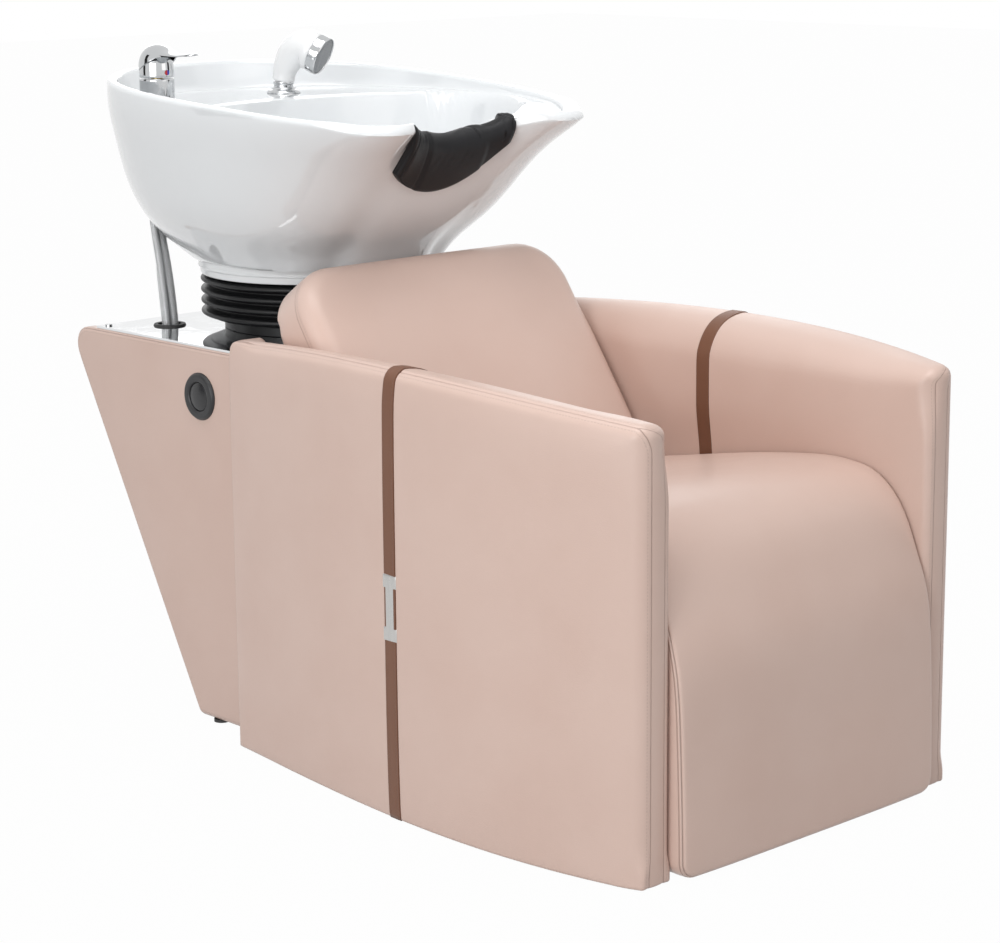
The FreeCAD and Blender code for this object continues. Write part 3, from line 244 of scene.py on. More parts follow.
def spline_at(points, choose_spots):
    """A smooth line through points, read at chosen distances along its chords."""
    points = np.asarray(points, float)
    lengths = chord_lengths(points)
    steps, spots = np.diff(lengths), choose_spots(lengths)
    bends = spline_bends(steps, points)
    i = np.clip(np.searchsorted(lengths, spots, side="right") - 1, 0, len(steps) - 1)
    return spline_between(points[i], points[i + 1], bends[i], bends[i + 1], steps[i][:, None],
                          (spots - lengths[i])[:, None])


def spline_steps(points, count):
    """A smooth line through points, in even steps."""
    return spline_at(points, lambda lengths: np.linspace(0, lengths[-1], count))


# %% [markdown]
# ## Shader arithmetic
# A pattern such as a stitch or a braid is a formula. A small class wraps a node's output, so the
# formula is written with plus and times, and Blender's Math nodes are added behind the scenes.

# %% Wire class
class Wire:
    """One output of a shader node."""

    def __init__(self, tree, socket=None):
        self.tree, self.socket = tree, socket

    def node(self, kind, settings, sockets, output=0):
        """Add any node: its settings come first, then the values or links of its sockets."""
        made = self.tree.nodes.new(kind)
        for name, value in settings.items():
            setattr(made, name, value)
        for name, value in sockets.items():
            self.join(value, made.inputs[name])
        return Wire(self.tree, made.outputs[output])

    def join(self, value, entry):
        if isinstance(value, Wire):
            self.tree.links.new(value.socket, entry)
        else:
            entry.default_value = value

    def sum(self, operation, *values):
        return self.node("ShaderNodeMath", {"operation": operation}, dict(enumerate(values)))

    def __add__(self, other):
        return self.sum("ADD", self, other)

    def __sub__(self, other):
        return self.sum("SUBTRACT", self, other)

    def __rsub__(self, other):
        return self.sum("SUBTRACT", other, self)

    def __mul__(self, other):
        return self.sum("MULTIPLY", self, other)

    __radd__, __rmul__ = __add__, __mul__

    def __abs__(self):
        return self.sum("ABSOLUTE", self)

    def step(self, low, high):
        """0 below low, 1 above high, and smooth between them."""
        return self.node("ShaderNodeMapRange", {"interpolation_type": "SMOOTHSTEP"},
                         {"Value": self, "From Min": low, "From Max": high})

    def band(self, width, edge):
        """1 within width of zero, and 0 beyond width plus edge."""
        return 1 - abs(self).step(width, width + edge)

    def wave(self, period):
        return self.sum("SINE", self * (2 * math.pi / period))


# %% [markdown]
# ## Material base
# Each finish starts from a Principled shader. What is the same all over is set on the shader's own
# sockets. Only what changes over the surface is linked: colour, roughness and the bump.

# %% Material helpers
def finish(name, colour, roughness, metallic=0.0, **constants):
    material = bpy.data.materials.new(name)
    material.use_nodes = True
    material.diffuse_color = (*colour, 1)
    shader = material.node_tree.nodes["Principled BSDF"]
    shader.inputs["Base Color"].default_value = (*colour, 1)
    shader.inputs["Roughness"].default_value = roughness
    shader.inputs["Metallic"].default_value = metallic
    for socket, value in constants.items():
        shader.inputs[socket.replace("_", " ")].default_value = value
    return material, shader, Wire(material.node_tree)


def object_place(wire):
    return wire.node("ShaderNodeTexCoord", {}, {}, 3)


def own(wire, name):
    """A number stored on the piece's points."""
    return wire.node("ShaderNodeAttribute", {"attribute_name": name}, {}, 2)


def noise_at(wire, spot, scale, detail=2.0, roughness=0.5):
    return wire.node("ShaderNodeTexNoise", {}, {"Vector": spot, "Scale": scale, "Detail": detail,
                                                "Roughness": roughness})


def tint(wire, factor, colour, other):
    """Colour where factor is 0, the other where it is 1. Colour may come from another node."""
    colour = colour if isinstance(colour, Wire) else (*colour, 1)
    return wire.node("ShaderNodeMix", {"data_type": "RGBA"}, {0: factor, 6: colour, 7: (*other, 1)}, 2)


def xyz(wire, vector):
    """The three numbers of a vector."""
    outputs = wire.node("ShaderNodeSeparateXYZ", {}, {"Vector": vector}).socket.node.outputs
    return [Wire(wire.tree, output) for output in outputs]


def bump(wire, shader, height, distance, strength=1.0):
    normal = wire.node("ShaderNodeBump", {}, {"Height": height, "Distance": distance, "Strength": strength})
    wire.join(normal, shader.inputs["Normal"])


# %% [markdown]
# ## Leather
# The upholstery is a smooth coated leather in a dusty pink. Close up it has a fine pebbled grain,
# very soft changes of colour, and seams with a row of short stitches beside them. The seam is drawn
# by distance: each padded piece stores how far every point lies from its seam, in millimetres. The
# seam's crease is sunk by a bump and darkened with painted shade.

# %% Upholstery leather
def leather(name, colour, shade, grain, roughness, piped=False, stitch=5.0, shine=0.42):
    material, shader, wire = finish(name, colour, roughness, Specular_IOR_Level=shine)
    spot = object_place(wire)
    pebbles = wire.node("ShaderNodeTexVoronoi", {"feature": "SMOOTH_F1"}, {"Vector": spot, "Scale": grain})
    pores = noise_at(wire, spot, grain * 2.2, 3.0)
    clouds = noise_at(wire, spot, 7.0, 2.0)
    rub = noise_at(wire, spot, 38.0, 3.0)
    base = tint(wire, (clouds - 0.38) * 1.6 + (rub - 0.5) * 0.25, colour, shade)
    height = pebbles * 0.5 + pores * 0.25
    gloss = roughness + (rub - 0.5) * 0.10 + (clouds - 0.5) * 0.05
    away, along = own(wire, "seam"), own(wire, "along")
    # gap marks the seam's crease: the bump sinks it, and its colour is darkened with painted shade.
    gap = away.band(0.2, 0.6)
    height = height + noise_at(wire, spot, 90.0) * away.band(1.5, 7.0) * 0.35
    if piped:
        # The welt's second crease gets the same sinking and the same painted shade.
        gap = gap + (away + 4.4).band(0.3, 0.6)
        height = height + (away + 2.2).band(0.4, 1.7) * 3.0
    else:
        thread = (away - stitch).band(0.3, 0.35) * along.wave(4.2).step(-0.55, -0.1)
        base = tint(wire, thread * 0.3, base, [value * 0.62 for value in shade])
        height = height + thread * 0.9 - (away - stitch).band(0.3, 0.8) * 0.6
    # Painted shade: the colour in the seam's crease is darkened towards a deep red-brown.
    base = tint(wire, gap * 0.42, base, [shade[0] * 0.42, shade[1] * 0.3, shade[2] * 0.27])
    height = height - gap * 3.0
    wire.join(base, shader.inputs["Base Color"])
    wire.join(gloss, shader.inputs["Roughness"])
    bump(wire, shader, height, 0.00022)
    return material


PINK, PINK_SHADE = (0.650, 0.485, 0.42), (0.610, 0.440, 0.375)
pink_leather = leather("pink_leather", PINK, PINK_SHADE, 900.0, 0.33)
piped_leather = leather("piped_pink_leather", PINK, PINK_SHADE, 900.0, 0.33, piped=True)
tan_leather = leather("tan_leather", (0.175, 0.075, 0.041), (0.150, 0.062, 0.033), 1100.0, 0.44, stitch=4.2)


# %% [markdown]
# ## Glaze, plastic and rubber
# The basin is white glazed ceramic: a sharp reflection over a soft body. Moulded plastic is a
# little less sharp, and rubber is almost matt with a faint bloom.

# %% Glaze, plastics and rubbers
def plain(name, colour, roughness, variation=0.05, grain=420.0, depth=0.00004, **constants):
    """One even finish with slight changes in roughness and a fine surface."""
    material, shader, wire = finish(name, colour, roughness, **constants)
    spot = object_place(wire)
    clouds = noise_at(wire, spot, 22.0, 3.0)
    fine = noise_at(wire, spot, grain, 2.0)
    darker = [value * (1 - variation) for value in colour]
    wire.join(tint(wire, clouds, colour, darker), shader.inputs["Base Color"])
    wire.join(roughness + (clouds - 0.5) * min(roughness, 0.12), shader.inputs["Roughness"])
    bump(wire, shader, fine, depth)
    return material


glaze = plain("white_glaze", (0.785, 0.805, 0.82), 0.07, 0.02, 60.0, 0.00012, Coat_Weight=0.6, Coat_Roughness=0.03)
collar_plastic = plain("collar_plastic", (0.79, 0.805, 0.815), 0.18, 0.02)
shower_plastic = plain("shower_plastic", (0.80, 0.805, 0.81), 0.12, 0.02, Coat_Weight=0.3)
bellows_rubber = plain("bellows_rubber", (0.010, 0.010, 0.011), 0.40, 0.35, 300.0, Specular_IOR_Level=0.35)
black_rubber = plain("black_rubber", (0.03, 0.03, 0.03), 0.62, 0.3)
button_plastic = plain("button_plastic", (0.016, 0.016, 0.018), 0.26, 0.3)
bezel_plastic = plain("bezel_plastic", (0.02, 0.02, 0.022), 0.42, 0.3)
grey_plastic = plain("grey_plastic", (0.26, 0.26, 0.27), 0.45)
switch_plastic = plain("switch_plastic", (0.08, 0.08, 0.085), 0.5)
washer_plastic = plain("washer_plastic", (0.74, 0.74, 0.71), 0.42)

# %% [markdown]
# ## Metals
# Polished chrome is nearly colourless and mirrors the white studio and the chair. Faint smudges in
# its roughness keep it from looking like glass. Brushed steel has fine lines that run one way.

# %% Metals
def polished(name, colour, roughness, smudge):
    material, shader, wire = finish(name, colour, roughness, 1.0)
    marks = noise_at(wire, object_place(wire), 45.0, 4.0, 0.65)
    wire.join(roughness + marks.step(0.45, 0.75) * smudge, shader.inputs["Roughness"])
    wire.join(tint(wire, marks, colour, [value * 0.96 for value in colour]), shader.inputs["Base Color"])
    return material


def brushed(name, colour, roughness, stretch):
    """Fine lines along the axis that the stretch leaves short."""
    material, shader, wire = finish(name, colour, roughness, 1.0)
    turned = wire.node("ShaderNodeMapping", {}, {"Vector": object_place(wire), "Scale": stretch})
    lines = noise_at(wire, turned, 1.0, 3.0, 0.6)
    wire.join(roughness + (lines - 0.5) * 0.3, shader.inputs["Roughness"])
    wire.join(tint(wire, lines, colour, [value * 0.82 for value in colour]), shader.inputs["Base Color"])
    bump(wire, shader, lines, 0.00006)
    return material


chrome = polished("chrome", (0.56, 0.57, 0.58), 0.05, 0.07)
mirror_steel = polished("mirror_steel", (0.78, 0.79, 0.80), 0.03, 0.05)
buckle_steel = brushed("buckle_steel", (0.60, 0.59, 0.575), 0.30, (900, 900, 60))
bracket_steel = brushed("bracket_steel", (0.50, 0.50, 0.51), 0.36, (60, 900, 900))
brass = brushed("brass", (0.66, 0.50, 0.22), 0.30, (700, 700, 90))

# %% [markdown]
# ## Wood
# The boards inside are plain softwood. Growth rings are stretched noise, cut by a sine wave.

# %% Wood
def wood_finish():
    material, shader, wire = finish("wood", (0.60, 0.42, 0.25), 0.58)
    spot = wire.node("ShaderNodeMapping", {}, {"Vector": object_place(wire), "Scale": (3, 26, 26)})
    rings = (noise_at(wire, spot, 1.0, 3.0) * 9.0).wave(1.0) * 0.5 + 0.5
    wire.join(tint(wire, rings, (0.66, 0.48, 0.29), (0.50, 0.33, 0.18)), shader.inputs["Base Color"])
    bump(wire, shader, rings, 0.0002)
    return material


wood = wood_finish()

# %% [markdown]
# ## Braided hose
# A salon hose is a rubber tube inside a braid of bright wire. The braid is two sets of strands
# that cross at an angle. Both run on the hose's own coordinates: once round it, and along it.

# %% Braid
def braid_finish(name, colour, strands, pitch, roughness):
    material, shader, wire = finish(name, colour, roughness, 1.0)
    share, length, _ = xyz(wire, wire.node("ShaderNodeTexCoord", {}, {}, 2))
    round_it, along_it = share * strands, length * (1 / pitch)
    one, other = (round_it + along_it).wave(1.0), (round_it - along_it).wave(1.0)
    over = (one * other).step(-0.2, 0.2)
    strand = abs(one) * over + abs(other) * (1 - over)
    # Painted shade: the gaps between the strands and the strands' turned-away edges are darkened.
    gap_shade = [value * 0.25 for value in colour]
    wire.join(tint(wire, strand.step(0.1, 0.6), gap_shade, colour), shader.inputs["Base Color"])
    wire.join(roughness + 0.25 * (1 - strand), shader.inputs["Roughness"])
    bump(wire, shader, strand, 0.0006)
    return material


braid = braid_finish("steel_braid", (0.70, 0.71, 0.72), 8.0, 0.006, 0.22)

# %% [markdown]
# ## Hoses
# Hot and cold water come up through the hole in the plate, and the shower's hose runs with them.
# All end on a block inside the housing. The drain hose goes down from the bowl. A hose lies on one
# smooth line: a NURBS curve pulled towards its route's points, as a real hose eases round its bends.

# %% Sweep a tube along a NURBS line
def nurbs_line(route):
    curve = bpy.data.curves.new("route", "CURVE")
    curve.dimensions = "3D"
    curve.resolution_u = 10
    spline = curve.splines.new("NURBS")
    spline.points.add(len(route) - 1)
    for point, spot in zip(spline.points, route):
        point.co = (*place(*spot), 1)
    spline.order_u = 3
    spline.use_endpoint_u = True
    carrier = bpy.data.objects.new("route", curve)
    bpy.context.scene.collection.objects.link(carrier)
    line = bpy.data.meshes.new_from_object(carrier)
    points = np.array([vertex.co for vertex in line.vertices])
    bpy.data.objects.remove(carrier)
    keep = np.concatenate([[True], np.linalg.norm(np.diff(points, axis=0), axis=1) > 1e-5])
    return points[keep]


def swept_tube(name, points, radii, sides=20):
    """A tube whose radius may change along the line, with its length on the UV map's second axis."""
    tangents = np.gradient(points, axis=0)
    tangents /= np.linalg.norm(tangents, axis=1)[:, None]
    side = np.cross(tangents[0], [0.3, 1, 0])
    side /= np.linalg.norm(side)
    rings = []
    lengths = chord_lengths(points)
    angles = np.linspace(0, 2 * math.pi, sides, endpoint=False)
    for centre, tangent, radius in zip(points, tangents, radii):
        side = side - tangent * np.dot(side, tangent)
        side /= np.linalg.norm(side)
        other = np.cross(tangent, side)
        rings.append(centre + radius * (np.cos(angles)[:, None] * side + np.sin(angles)[:, None] * other))
    tube = mesh_piece(name, np.concatenate(rings), net_faces(len(rings), sides))
    layer = tube.data.uv_layers.new(name="along")
    for polygon in tube.data.polygons:
        loops = list(polygon.loop_indices)
        columns = [tube.data.loops[loop].vertex_index % sides for loop in loops]
        wraps = 0 in columns and sides - 1 in columns and len(loops) == 4
        for loop, column in zip(loops, columns):
            row = tube.data.loops[loop].vertex_index // sides
            share = column / sides + (1 if wraps and column == 0 else 0)
            layer.data[loop].uv = (share, lengths[row])
    return tube


# %% Four hoses
hose_routes = {
    "hot_hose": (5.5, [(-166, 1040, 805.4), (-166, 1040, 775), (-165, 1049, 745), (-162, 1060, 712),
                       (-158, 1064, 680), (-156, 1061, 645), (-156, 1052, 605), (-157, 1043, 560),
                       (-157.5, 1038.5, 515), (-158, 1038, 470), (-158, 1038, 435)]),
    "cold_hose": (5.5, [(-154, 1040, 805.4), (-154, 1040, 775), (-152, 1050, 745), (-147, 1062, 712),
                        (-144, 1068, 680), (-142.5, 1065, 645), (-142.5, 1054, 605), (-143.5, 1044.5, 560),
                        (-144.3, 1038.5, 515), (-144, 1037, 470), (-144, 1037, 435)]),
    "shower_hose": (5.5, [(50, 1025, 800.5), (50, 1025, 772), (40, 1031, 742), (12, 1045, 716), (-26, 1062, 702),
                          (-64, 1076, 694), (-98, 1085, 682), (-124, 1087, 652), (-140, 1077, 607),
                          (-148, 1060, 562), (-151, 1050.5, 520), (-151, 1049, 475), (-151, 1049, 435)]),
    "drain_hose": (16.0, [(0, 835, 605.7), (0, 835, 560), (0, 837.5, 500), (0, 846, 400), (0, 844, 260),
                          (0, 840, 140), (0, 840, 58)]),
}
stem = place(0, STEM, 523), place(0, STEM, 599.7)
for name, (radius, route) in hose_routes.items():
    line = nurbs_line(route)
    hose = swept_tube(name, line, np.full(len(line), radius / 1000), 24 if radius > 10 else 16)
    drain = name == "drain_hose"
    hand_over(hose, name + "_outer", black_rubber if drain else braid, "drain_hose" if drain else "braid", None, name)
    place(0, STEM, route[-1][2])
    place(0, STEM, route[0][2])
    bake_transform(hose)
    print(name, round(float(chord_lengths(line)[-1]), 3), "m")

# %% [markdown]
# ## Padded panels
# Arms, back, seat and housing covers are foam under leather: a slab with rounded corners, softly
# rounded edges and a slightly crowned face. One function makes such a slab on a flat pattern, with
# grid lines close together near its edges, and a second step bends the pattern into its place.
# Bevelling a cube can't change the edge's radius along its way or store the distance to the seam,
# so this piece is made from points.

# %% Grid lines and a closed box of them
NEAR_EDGE = [0, 0.6, 1.3, 2.2, 3.4, 5, 7, 9.5, 12.5, 16, 20, 25, 31, 39]


def grid_lines(length, step=15.0):
    near = [value for value in NEAR_EDGE if value < length * 0.4]
    inner = length - 2 * near[-1]
    count = max(int(round(inner / step)), 1)
    middle = [near[-1] + inner * i / count for i in range(1, count)]
    return np.array(near + middle + [length - value for value in reversed(near)])


def box_grid(us, vs, ws):
    """Points and outward faces of a box's surface on three sets of grid lines."""
    index, points, faces = {}, [], []

    def corner(i, j, k):
        if (i, j, k) not in index:
            index[i, j, k] = len(points)
            points.append((us[i], vs[j], ws[k]))
        return index[i, j, k]

    last = len(us) - 1, len(vs) - 1, len(ws) - 1
    for axis in (2, 0, 1):
        one, other = (axis + 1) % 3, (axis + 2) % 3
        for p, q in np.ndindex(last[one], last[other]):
            for end in (last[axis], 0):
                face = []
                for r, s in ((p, q), (p + 1, q), (p + 1, q + 1), (p, q + 1)):
                    spot = [end] * 3
                    spot[one], spot[other] = r, s
                    face.append(corner(*spot))
                faces.append(face if end else face[::-1])
    return np.array(points), faces


# %% Round the slab's corners and edges
def round_slab(points, size, corners, face_radius, rear_radius):
    """Slab points in millimetres, rounded: four corner radii in plan, then the face's and the rear's edges.

    Also gives each point's distance over the surface from the face's edge and from the rear's edge,
    and its way round the outline."""
    width, height, thick = size
    u, v, w = points.T.copy()
    away = np.minimum.reduce([u, width - u, v, height - v])
    out_u = np.where(away == u, -1.0, np.where(away == width - u, 1.0, 0.0))
    out_v = np.where(out_u != 0, 0.0, np.where(away == v, -1.0, 1.0))
    along = np.where(out_u == 1, v, np.where(out_v == 1, height + width - u,
                     np.where(out_u == -1, 2 * height + width - v, 2 * height + width + u)))
    for (side_u, side_v), radius in zip(((-1, -1), (1, -1), (1, 1), (-1, 1)), corners):
        centre_u = radius if side_u < 0 else width - radius
        centre_v = radius if side_v < 0 else height - radius
        du, dv = (u - centre_u) * side_u, (v - centre_v) * side_v
        inside = (du > 0) & (dv > 0)
        du, dv = np.where(inside, du, 1.0), np.where(inside, dv, 0.0)
        reach, length = np.maximum(du, dv), np.hypot(du, dv)
        new_u, new_v = du / length, dv / length
        u = np.where(inside, centre_u + side_u * new_u * reach, u)
        v = np.where(inside, centre_v + side_v * new_v * reach, v)
        away = np.where(inside, radius - reach, away)
        out_u = np.where(inside, side_u * new_u, out_u)
        out_v = np.where(inside, side_v * new_v, out_v)
        bend = np.arctan2(new_v, new_u)
        starts = {(1, 1): height - radius, (-1, 1): height + width, (-1, -1): 2 * height + width,
                  (1, -1): 0.0}
        turn = bend if side_u * side_v > 0 else math.pi / 2 - bend
        start = starts[side_u, side_v] - (radius if (side_u, side_v) in ((-1, 1), (-1, -1)) else 0)
        along = np.where(inside, start + radius * turn, along)
    seams = []
    for sign, radius in ((1, face_radius), (-1, rear_radius)):
        radius = np.broadcast_to(radius, u.shape)
        deep = w if sign < 0 else thick - w
        a, b = radius - away, radius - deep
        zone = (a > 0) & (b > 0)
        length = np.where(zone, np.hypot(a, b), 1.0)
        angle = np.arctan2(np.where(zone, a, 0), np.where(zone, b, 1))
        new_away = np.where(zone, radius - a * radius / length, away)
        new_deep = np.where(zone, radius - b * radius / length, deep)
        over_face = radius * math.pi / 4 + (away - radius)
        down_side = -(radius * math.pi / 4 + (deep - radius))
        seams.append(np.where(zone, radius * (math.pi / 4 - angle), np.where(deep < 1e-6, over_face, down_side)))
        u, v = u - out_u * (new_away - away), v - out_v * (new_away - away)
        w = new_deep if sign < 0 else thick - new_deep
        away = new_away
    return np.stack([u, v, w], axis=1), seams[0], seams[1], along


def padded_slab(name, size, corners, face_radius, rear_radius, bend, crown=0.0, seam_shift=0.0, step=15.0,
                rear_shift=0.0, waves=0.8, wave_seed=0.0):
    """A padded panel: rounded slab, pinched at its seams, slightly wavy, bent into place."""
    points, faces = box_grid(grid_lines(size[0], step), grid_lines(size[1], step), grid_lines(size[2], 8.0))
    face_radius, rear_radius, seam_shift, rear_shift = [
        value(points) if callable(value) else value for value in (face_radius, rear_radius, seam_shift, rear_shift)]
    points, face_seam, rear_seam, along = round_slab(points, size, corners, face_radius, rear_radius)
    face_seam, rear_seam = face_seam + seam_shift, rear_seam + rear_shift
    u, v, w = points.T
    middle = (1 - (2 * u / size[0] - 1) ** 4) * (1 - (2 * v / size[1] - 1) ** 4)
    w += crown * middle * (w / size[2])
    near_seam = np.minimum(abs(face_seam), abs(rear_seam))
    pinch = 0.5 * np.exp(-(near_seam / 1.6) ** 2) + 0.4 * np.exp(-(near_seam / 6.0) ** 2)
    world = bend(np.stack([u, v, w], axis=1))
    piece = mesh_piece(name, places(world), faces)
    normals = np.zeros(len(points) * 3)
    piece.data.vertex_normals.foreach_get("vector", normals)
    normals = normals.reshape(-1, 3)
    soft = np.array([noise.noise(Vector(spot) * 7.0 + Vector((wave_seed, 0, 0))) for spot in places(world)])
    calm = smooth(near_seam / 40.0)
    moved = places(world) + normals * ((soft * waves * calm - pinch) / 1000)[:, None]
    piece.data.vertices.foreach_set("co", moved.ravel())
    piece.data.update()
    strip = np.maximum(face_seam, rear_seam)
    attribute(piece, "seam", np.where(face_seam > 0, face_seam, np.where(rear_seam > 0, rear_seam, strip)))
    attribute(piece, "along", along)
    return piece


# %% [markdown]
# ## Arms
# The outer face of an arm bulges in plan, and its top line is a low arch. The inner face is nearly
# flat, so the arm is 46 mm thick at its ends and 77 mm in the middle. The outer cover ends in a
# seam just round its edge. The inner cover rolls softly over the top and meets it there, and down
# the front edge a strip lies between the two. Each cover swells a little inside its seams.

# %% Plan and top line of the arms
ARM_LENGTH, ARM_HEIGHT, ARM_THICK, ARM_FOOT = 745.0, 545.0, 46.0, 1.5
FRONT_HALF, WIDEST_HALF, REAR_HALF, WIDEST_SHARE = 276.0, 316.0, 274.0, 0.40
rise, fall = WIDEST_HALF - FRONT_HALF, REAR_HALF - FRONT_HALF
cube = (fall - 2 * rise / WIDEST_SHARE + rise / WIDEST_SHARE ** 2) / (1 - WIDEST_SHARE) ** 2
square = -rise / WIDEST_SHARE ** 2 - 2 * cube * WIDEST_SHARE
line = 2 * rise / WIDEST_SHARE + cube * WIDEST_SHARE ** 2


def arm_outside(behind):
    share = np.clip(np.asarray(behind, float) / ARM_LENGTH, 0, 1)
    return FRONT_HALF + share * (line + share * (square + share * cube))


def arm_top(behind):
    share = np.asarray(behind, float) / ARM_LENGTH
    return 539 + 11 * share + 18.5 * 4 * share * (1 - share)


def arm_inside(behind):
    behind = np.clip(np.asarray(behind, float), 0, ARM_LENGTH)
    return 230 + 10 * smooth(behind / 380) - 11 * smooth((behind - 640) / 105)


def arm_bend(side):
    def bend(points):
        behind, height, out = points.T
        z = ARM_FOOT + height / ARM_HEIGHT * (arm_top(behind) - ARM_FOOT)
        middle = (1 - (2 * behind / ARM_LENGTH - 1) ** 4) * (1 - (2 * height / ARM_HEIGHT - 1) ** 4)
        edge = np.minimum.reduce([behind, ARM_LENGTH - behind + 25, ARM_HEIGHT - height, height + 30])
        pillow = 1 - (1 - np.clip(edge / 50, 0, 1)) ** 2
        inward = np.clip((ARM_THICK - out - 12) / 34, 0, 1)
        spare = arm_outside(behind) - ARM_THICK - arm_inside(behind)
        before_back = smooth((475 + (z - 382) * 0.694 - behind) / 70)
        swell = (3 + 5 * smooth(behind / 300)) * pillow * smooth((z - 370) / 95) * before_back
        x = arm_outside(behind) - ARM_THICK + out + (2.5 * middle + 5 * pillow) * out / ARM_THICK
        down = ARM_HEIGHT - height
        drop = (4 + 12 * smooth((behind - 40) / 300)) * smooth((behind + 5) / 75)
        z = z - drop * inward * smooth(down / 34) * (1 - smooth((down - 34) / 200))
        return np.stack([side * (x - (spare + swell) * inward), behind, z], axis=1)
    return bend


# %% How soft the arm's edges are, and where its seams lie
def arm_face_radius(points):
    """14 mm, but 5 mm at the rear and 4 mm at the floor."""
    behind, height, _ = points.T
    return 4 + 10 * smooth((ARM_LENGTH - behind - 20) / 40) * smooth((height - 12) / 30) + smooth((behind - 600) / 100)


def arm_inner_radius(points):
    """12 mm down the front, a roll of 26 to 34 mm over the top, and smaller at the rear and the floor."""
    behind, height, _ = points.T
    soft = 12 + smooth((height - 450) / 70) * (13 + 9 * smooth((behind - 25) / 85))
    return 4 + (soft - 4) * smooth((ARM_LENGTH - behind - 6) / 50) * smooth((height - 12) / 30)


def arm_outer_seam(points):
    return 2.5 + 7.0 * smooth((44 - points[:, 0]) / 36) * smooth((541 - points[:, 1]) / 28)


def arm_inner_seam(points):
    """Down the front it lies 12 mm in. Round the top corner it crosses over to the outer seam."""
    behind, height, _ = points.T
    turn = np.arctan2(np.maximum(height - 525, 0), np.maximum(20 - behind, 1e-6)) / (math.pi / 2)
    over = np.where(behind > 100, 1.0, smooth(turn * 1.25))
    radius = arm_inner_radius(points)
    return radius * math.pi / 4 + 12 + 28 * over - radius


# %% Both arms
ARM_SIZE = (ARM_LENGTH, ARM_HEIGHT, ARM_THICK)
ARM_CORNERS = (4, 4, 12, 15)
for side, node in ((1, "arm_left"), (-1, "arm_right")):
    arm = padded_slab(node, ARM_SIZE, ARM_CORNERS, arm_face_radius, arm_inner_radius, arm_bend(side),
                      seam_shift=arm_outer_seam, rear_shift=arm_inner_seam, wave_seed=3.0 * side)
    hand_over(arm, "padded_" + node, pink_leather, "upholstery", "chair", node)

# %% [markdown]
# ## Seat and leg panel
# One skin runs from the back of the seat, over the waterfall front edge, down to the floor. Its
# outer line is the profile seen from the side. Its inner line is the seat board and the riser.

# %% Seat profile
outer_profile = [(475, 366), (455, 370.5), (400, 380.5), (314, 396), (226, 409.5), (163, 416.5), (140, 417.5),
                 (108, 415.5), (84, 411), (66, 402.5), (47, 387.5), (34, 372), (22, 352), (9, 322), (-4, 288),
                 (-12, 258), (-16, 228), (-19, 165), (-22, 80), (-23.5, 5)]
inner_profile = [(475, 300.5), (455, 300.5), (401, 300.5), (333, 300.5), (263, 300.5), (201, 300.5), (155, 300.5),
                 (118, 300.5), (99, 299), (88, 296), (81, 289), (79.7, 275), (79.7, 235), (79.7, 180), (79.7, 90),
                 (79.7, 5)]


outer_line, inner_line = spline_steps(outer_profile, 200), spline_steps(inner_profile, 200)
SEAT_LENGTH, SEAT_THICK = float(chord_lengths(outer_line)[-1]), 90.0


def seat_half(behind):
    return arm_inside(behind) - 0.5 + smooth((8 - behind) / 8)


def seat_bend(points):
    across, way, out = points.T
    row = np.clip((1 - way / SEAT_LENGTH) * 199, 0, 199)
    outer = np.stack([np.interp(row, np.arange(200), outer_line[:, i]) for i in (0, 1)], axis=1)
    inner = np.stack([np.interp(row, np.arange(200), inner_line[:, i]) for i in (0, 1)], axis=1)
    spot = inner + (outer - inner) * (out / SEAT_THICK)[:, None]
    lean = across / 230 - 1
    sag = np.interp(outer[:, 1], [150, 330], [4, 7]) * lean ** 4 * out / SEAT_THICK
    normal = (outer - inner) / np.linalg.norm(outer - inner, axis=1)[:, None]
    spot = spot - normal * sag[:, None]
    return np.stack([lean * seat_half(spot[:, 0]), spot[:, 0], spot[:, 1]], axis=1)


# %% Seat and leg skin
seat = padded_slab("seat", (460.0, SEAT_LENGTH, SEAT_THICK), (22, 22, 9, 9), 7.0, 6.0, seat_bend, waves=1.0,
                   wave_seed=11.0)
print("seat and leg skin", round(SEAT_LENGTH), "mm long")
hand_over(seat, "padded_seat", piped_leather, "upholstery", "chair", "seat_cushion")

# %% [markdown]
# ## Backrest
# The back is a reclined slab. Its top corners have a large radius, its front edge is soft, and the
# seam lies behind that soft edge, at the start of the boxing.

# %% Backrest
BACK_HALF, BACK_THICK = 236.0, 82.0
back_foot, back_top = np.array([482.0, 382.0]), np.array([668.0, 650.0])
BACK_HEIGHT = float(np.linalg.norm(back_top - back_foot))
along_back = (back_top - back_foot) / BACK_HEIGHT
behind_back = np.array([along_back[1], -along_back[0]])


def back_bend(points):
    across, height, out = points.T
    spot = back_foot + height[:, None] * along_back + (BACK_THICK - out)[:, None] * behind_back
    between = arm_inside(spot[:, 0]) - 1
    free = smooth((height - BACK_HEIGHT * 0.5) / (BACK_HEIGHT * 0.22))
    half = between + (BACK_HALF - between) * free
    half = np.where(spot[:, 1] < 575, np.minimum(half, between), half)
    return np.stack([(across / BACK_HALF - 1) * half, spot[:, 0], spot[:, 1]], axis=1)


backrest = padded_slab("backrest", (2 * BACK_HALF, BACK_HEIGHT, BACK_THICK), (26, 26, 72, 72), 25.0, 18.0,
                       back_bend, crown=8.0, seam_shift=19.6, waves=1.2, wave_seed=23.0, step=12.0)
hand_over(backrest, "padded_backrest", pink_leather, "upholstery", "chair", "backrest_cushion")

# %% [markdown]
# ## Housing covers
# The housing's sides are boards under thin padding, with a small edge radius. The rear edge slopes
# inwards to the floor. The button's barrel goes through the right hand side.

# %% Housing sides and rear
def housing_bend(side):
    def bend(points):
        way, height, out = points.T
        z = 4 + height
        rear = 890 + (1158 - 890) * (z - 4) / 484
        return np.stack([side * (210 + out), 745 + (rear - 745) * way / 390, z], axis=1)
    return bend


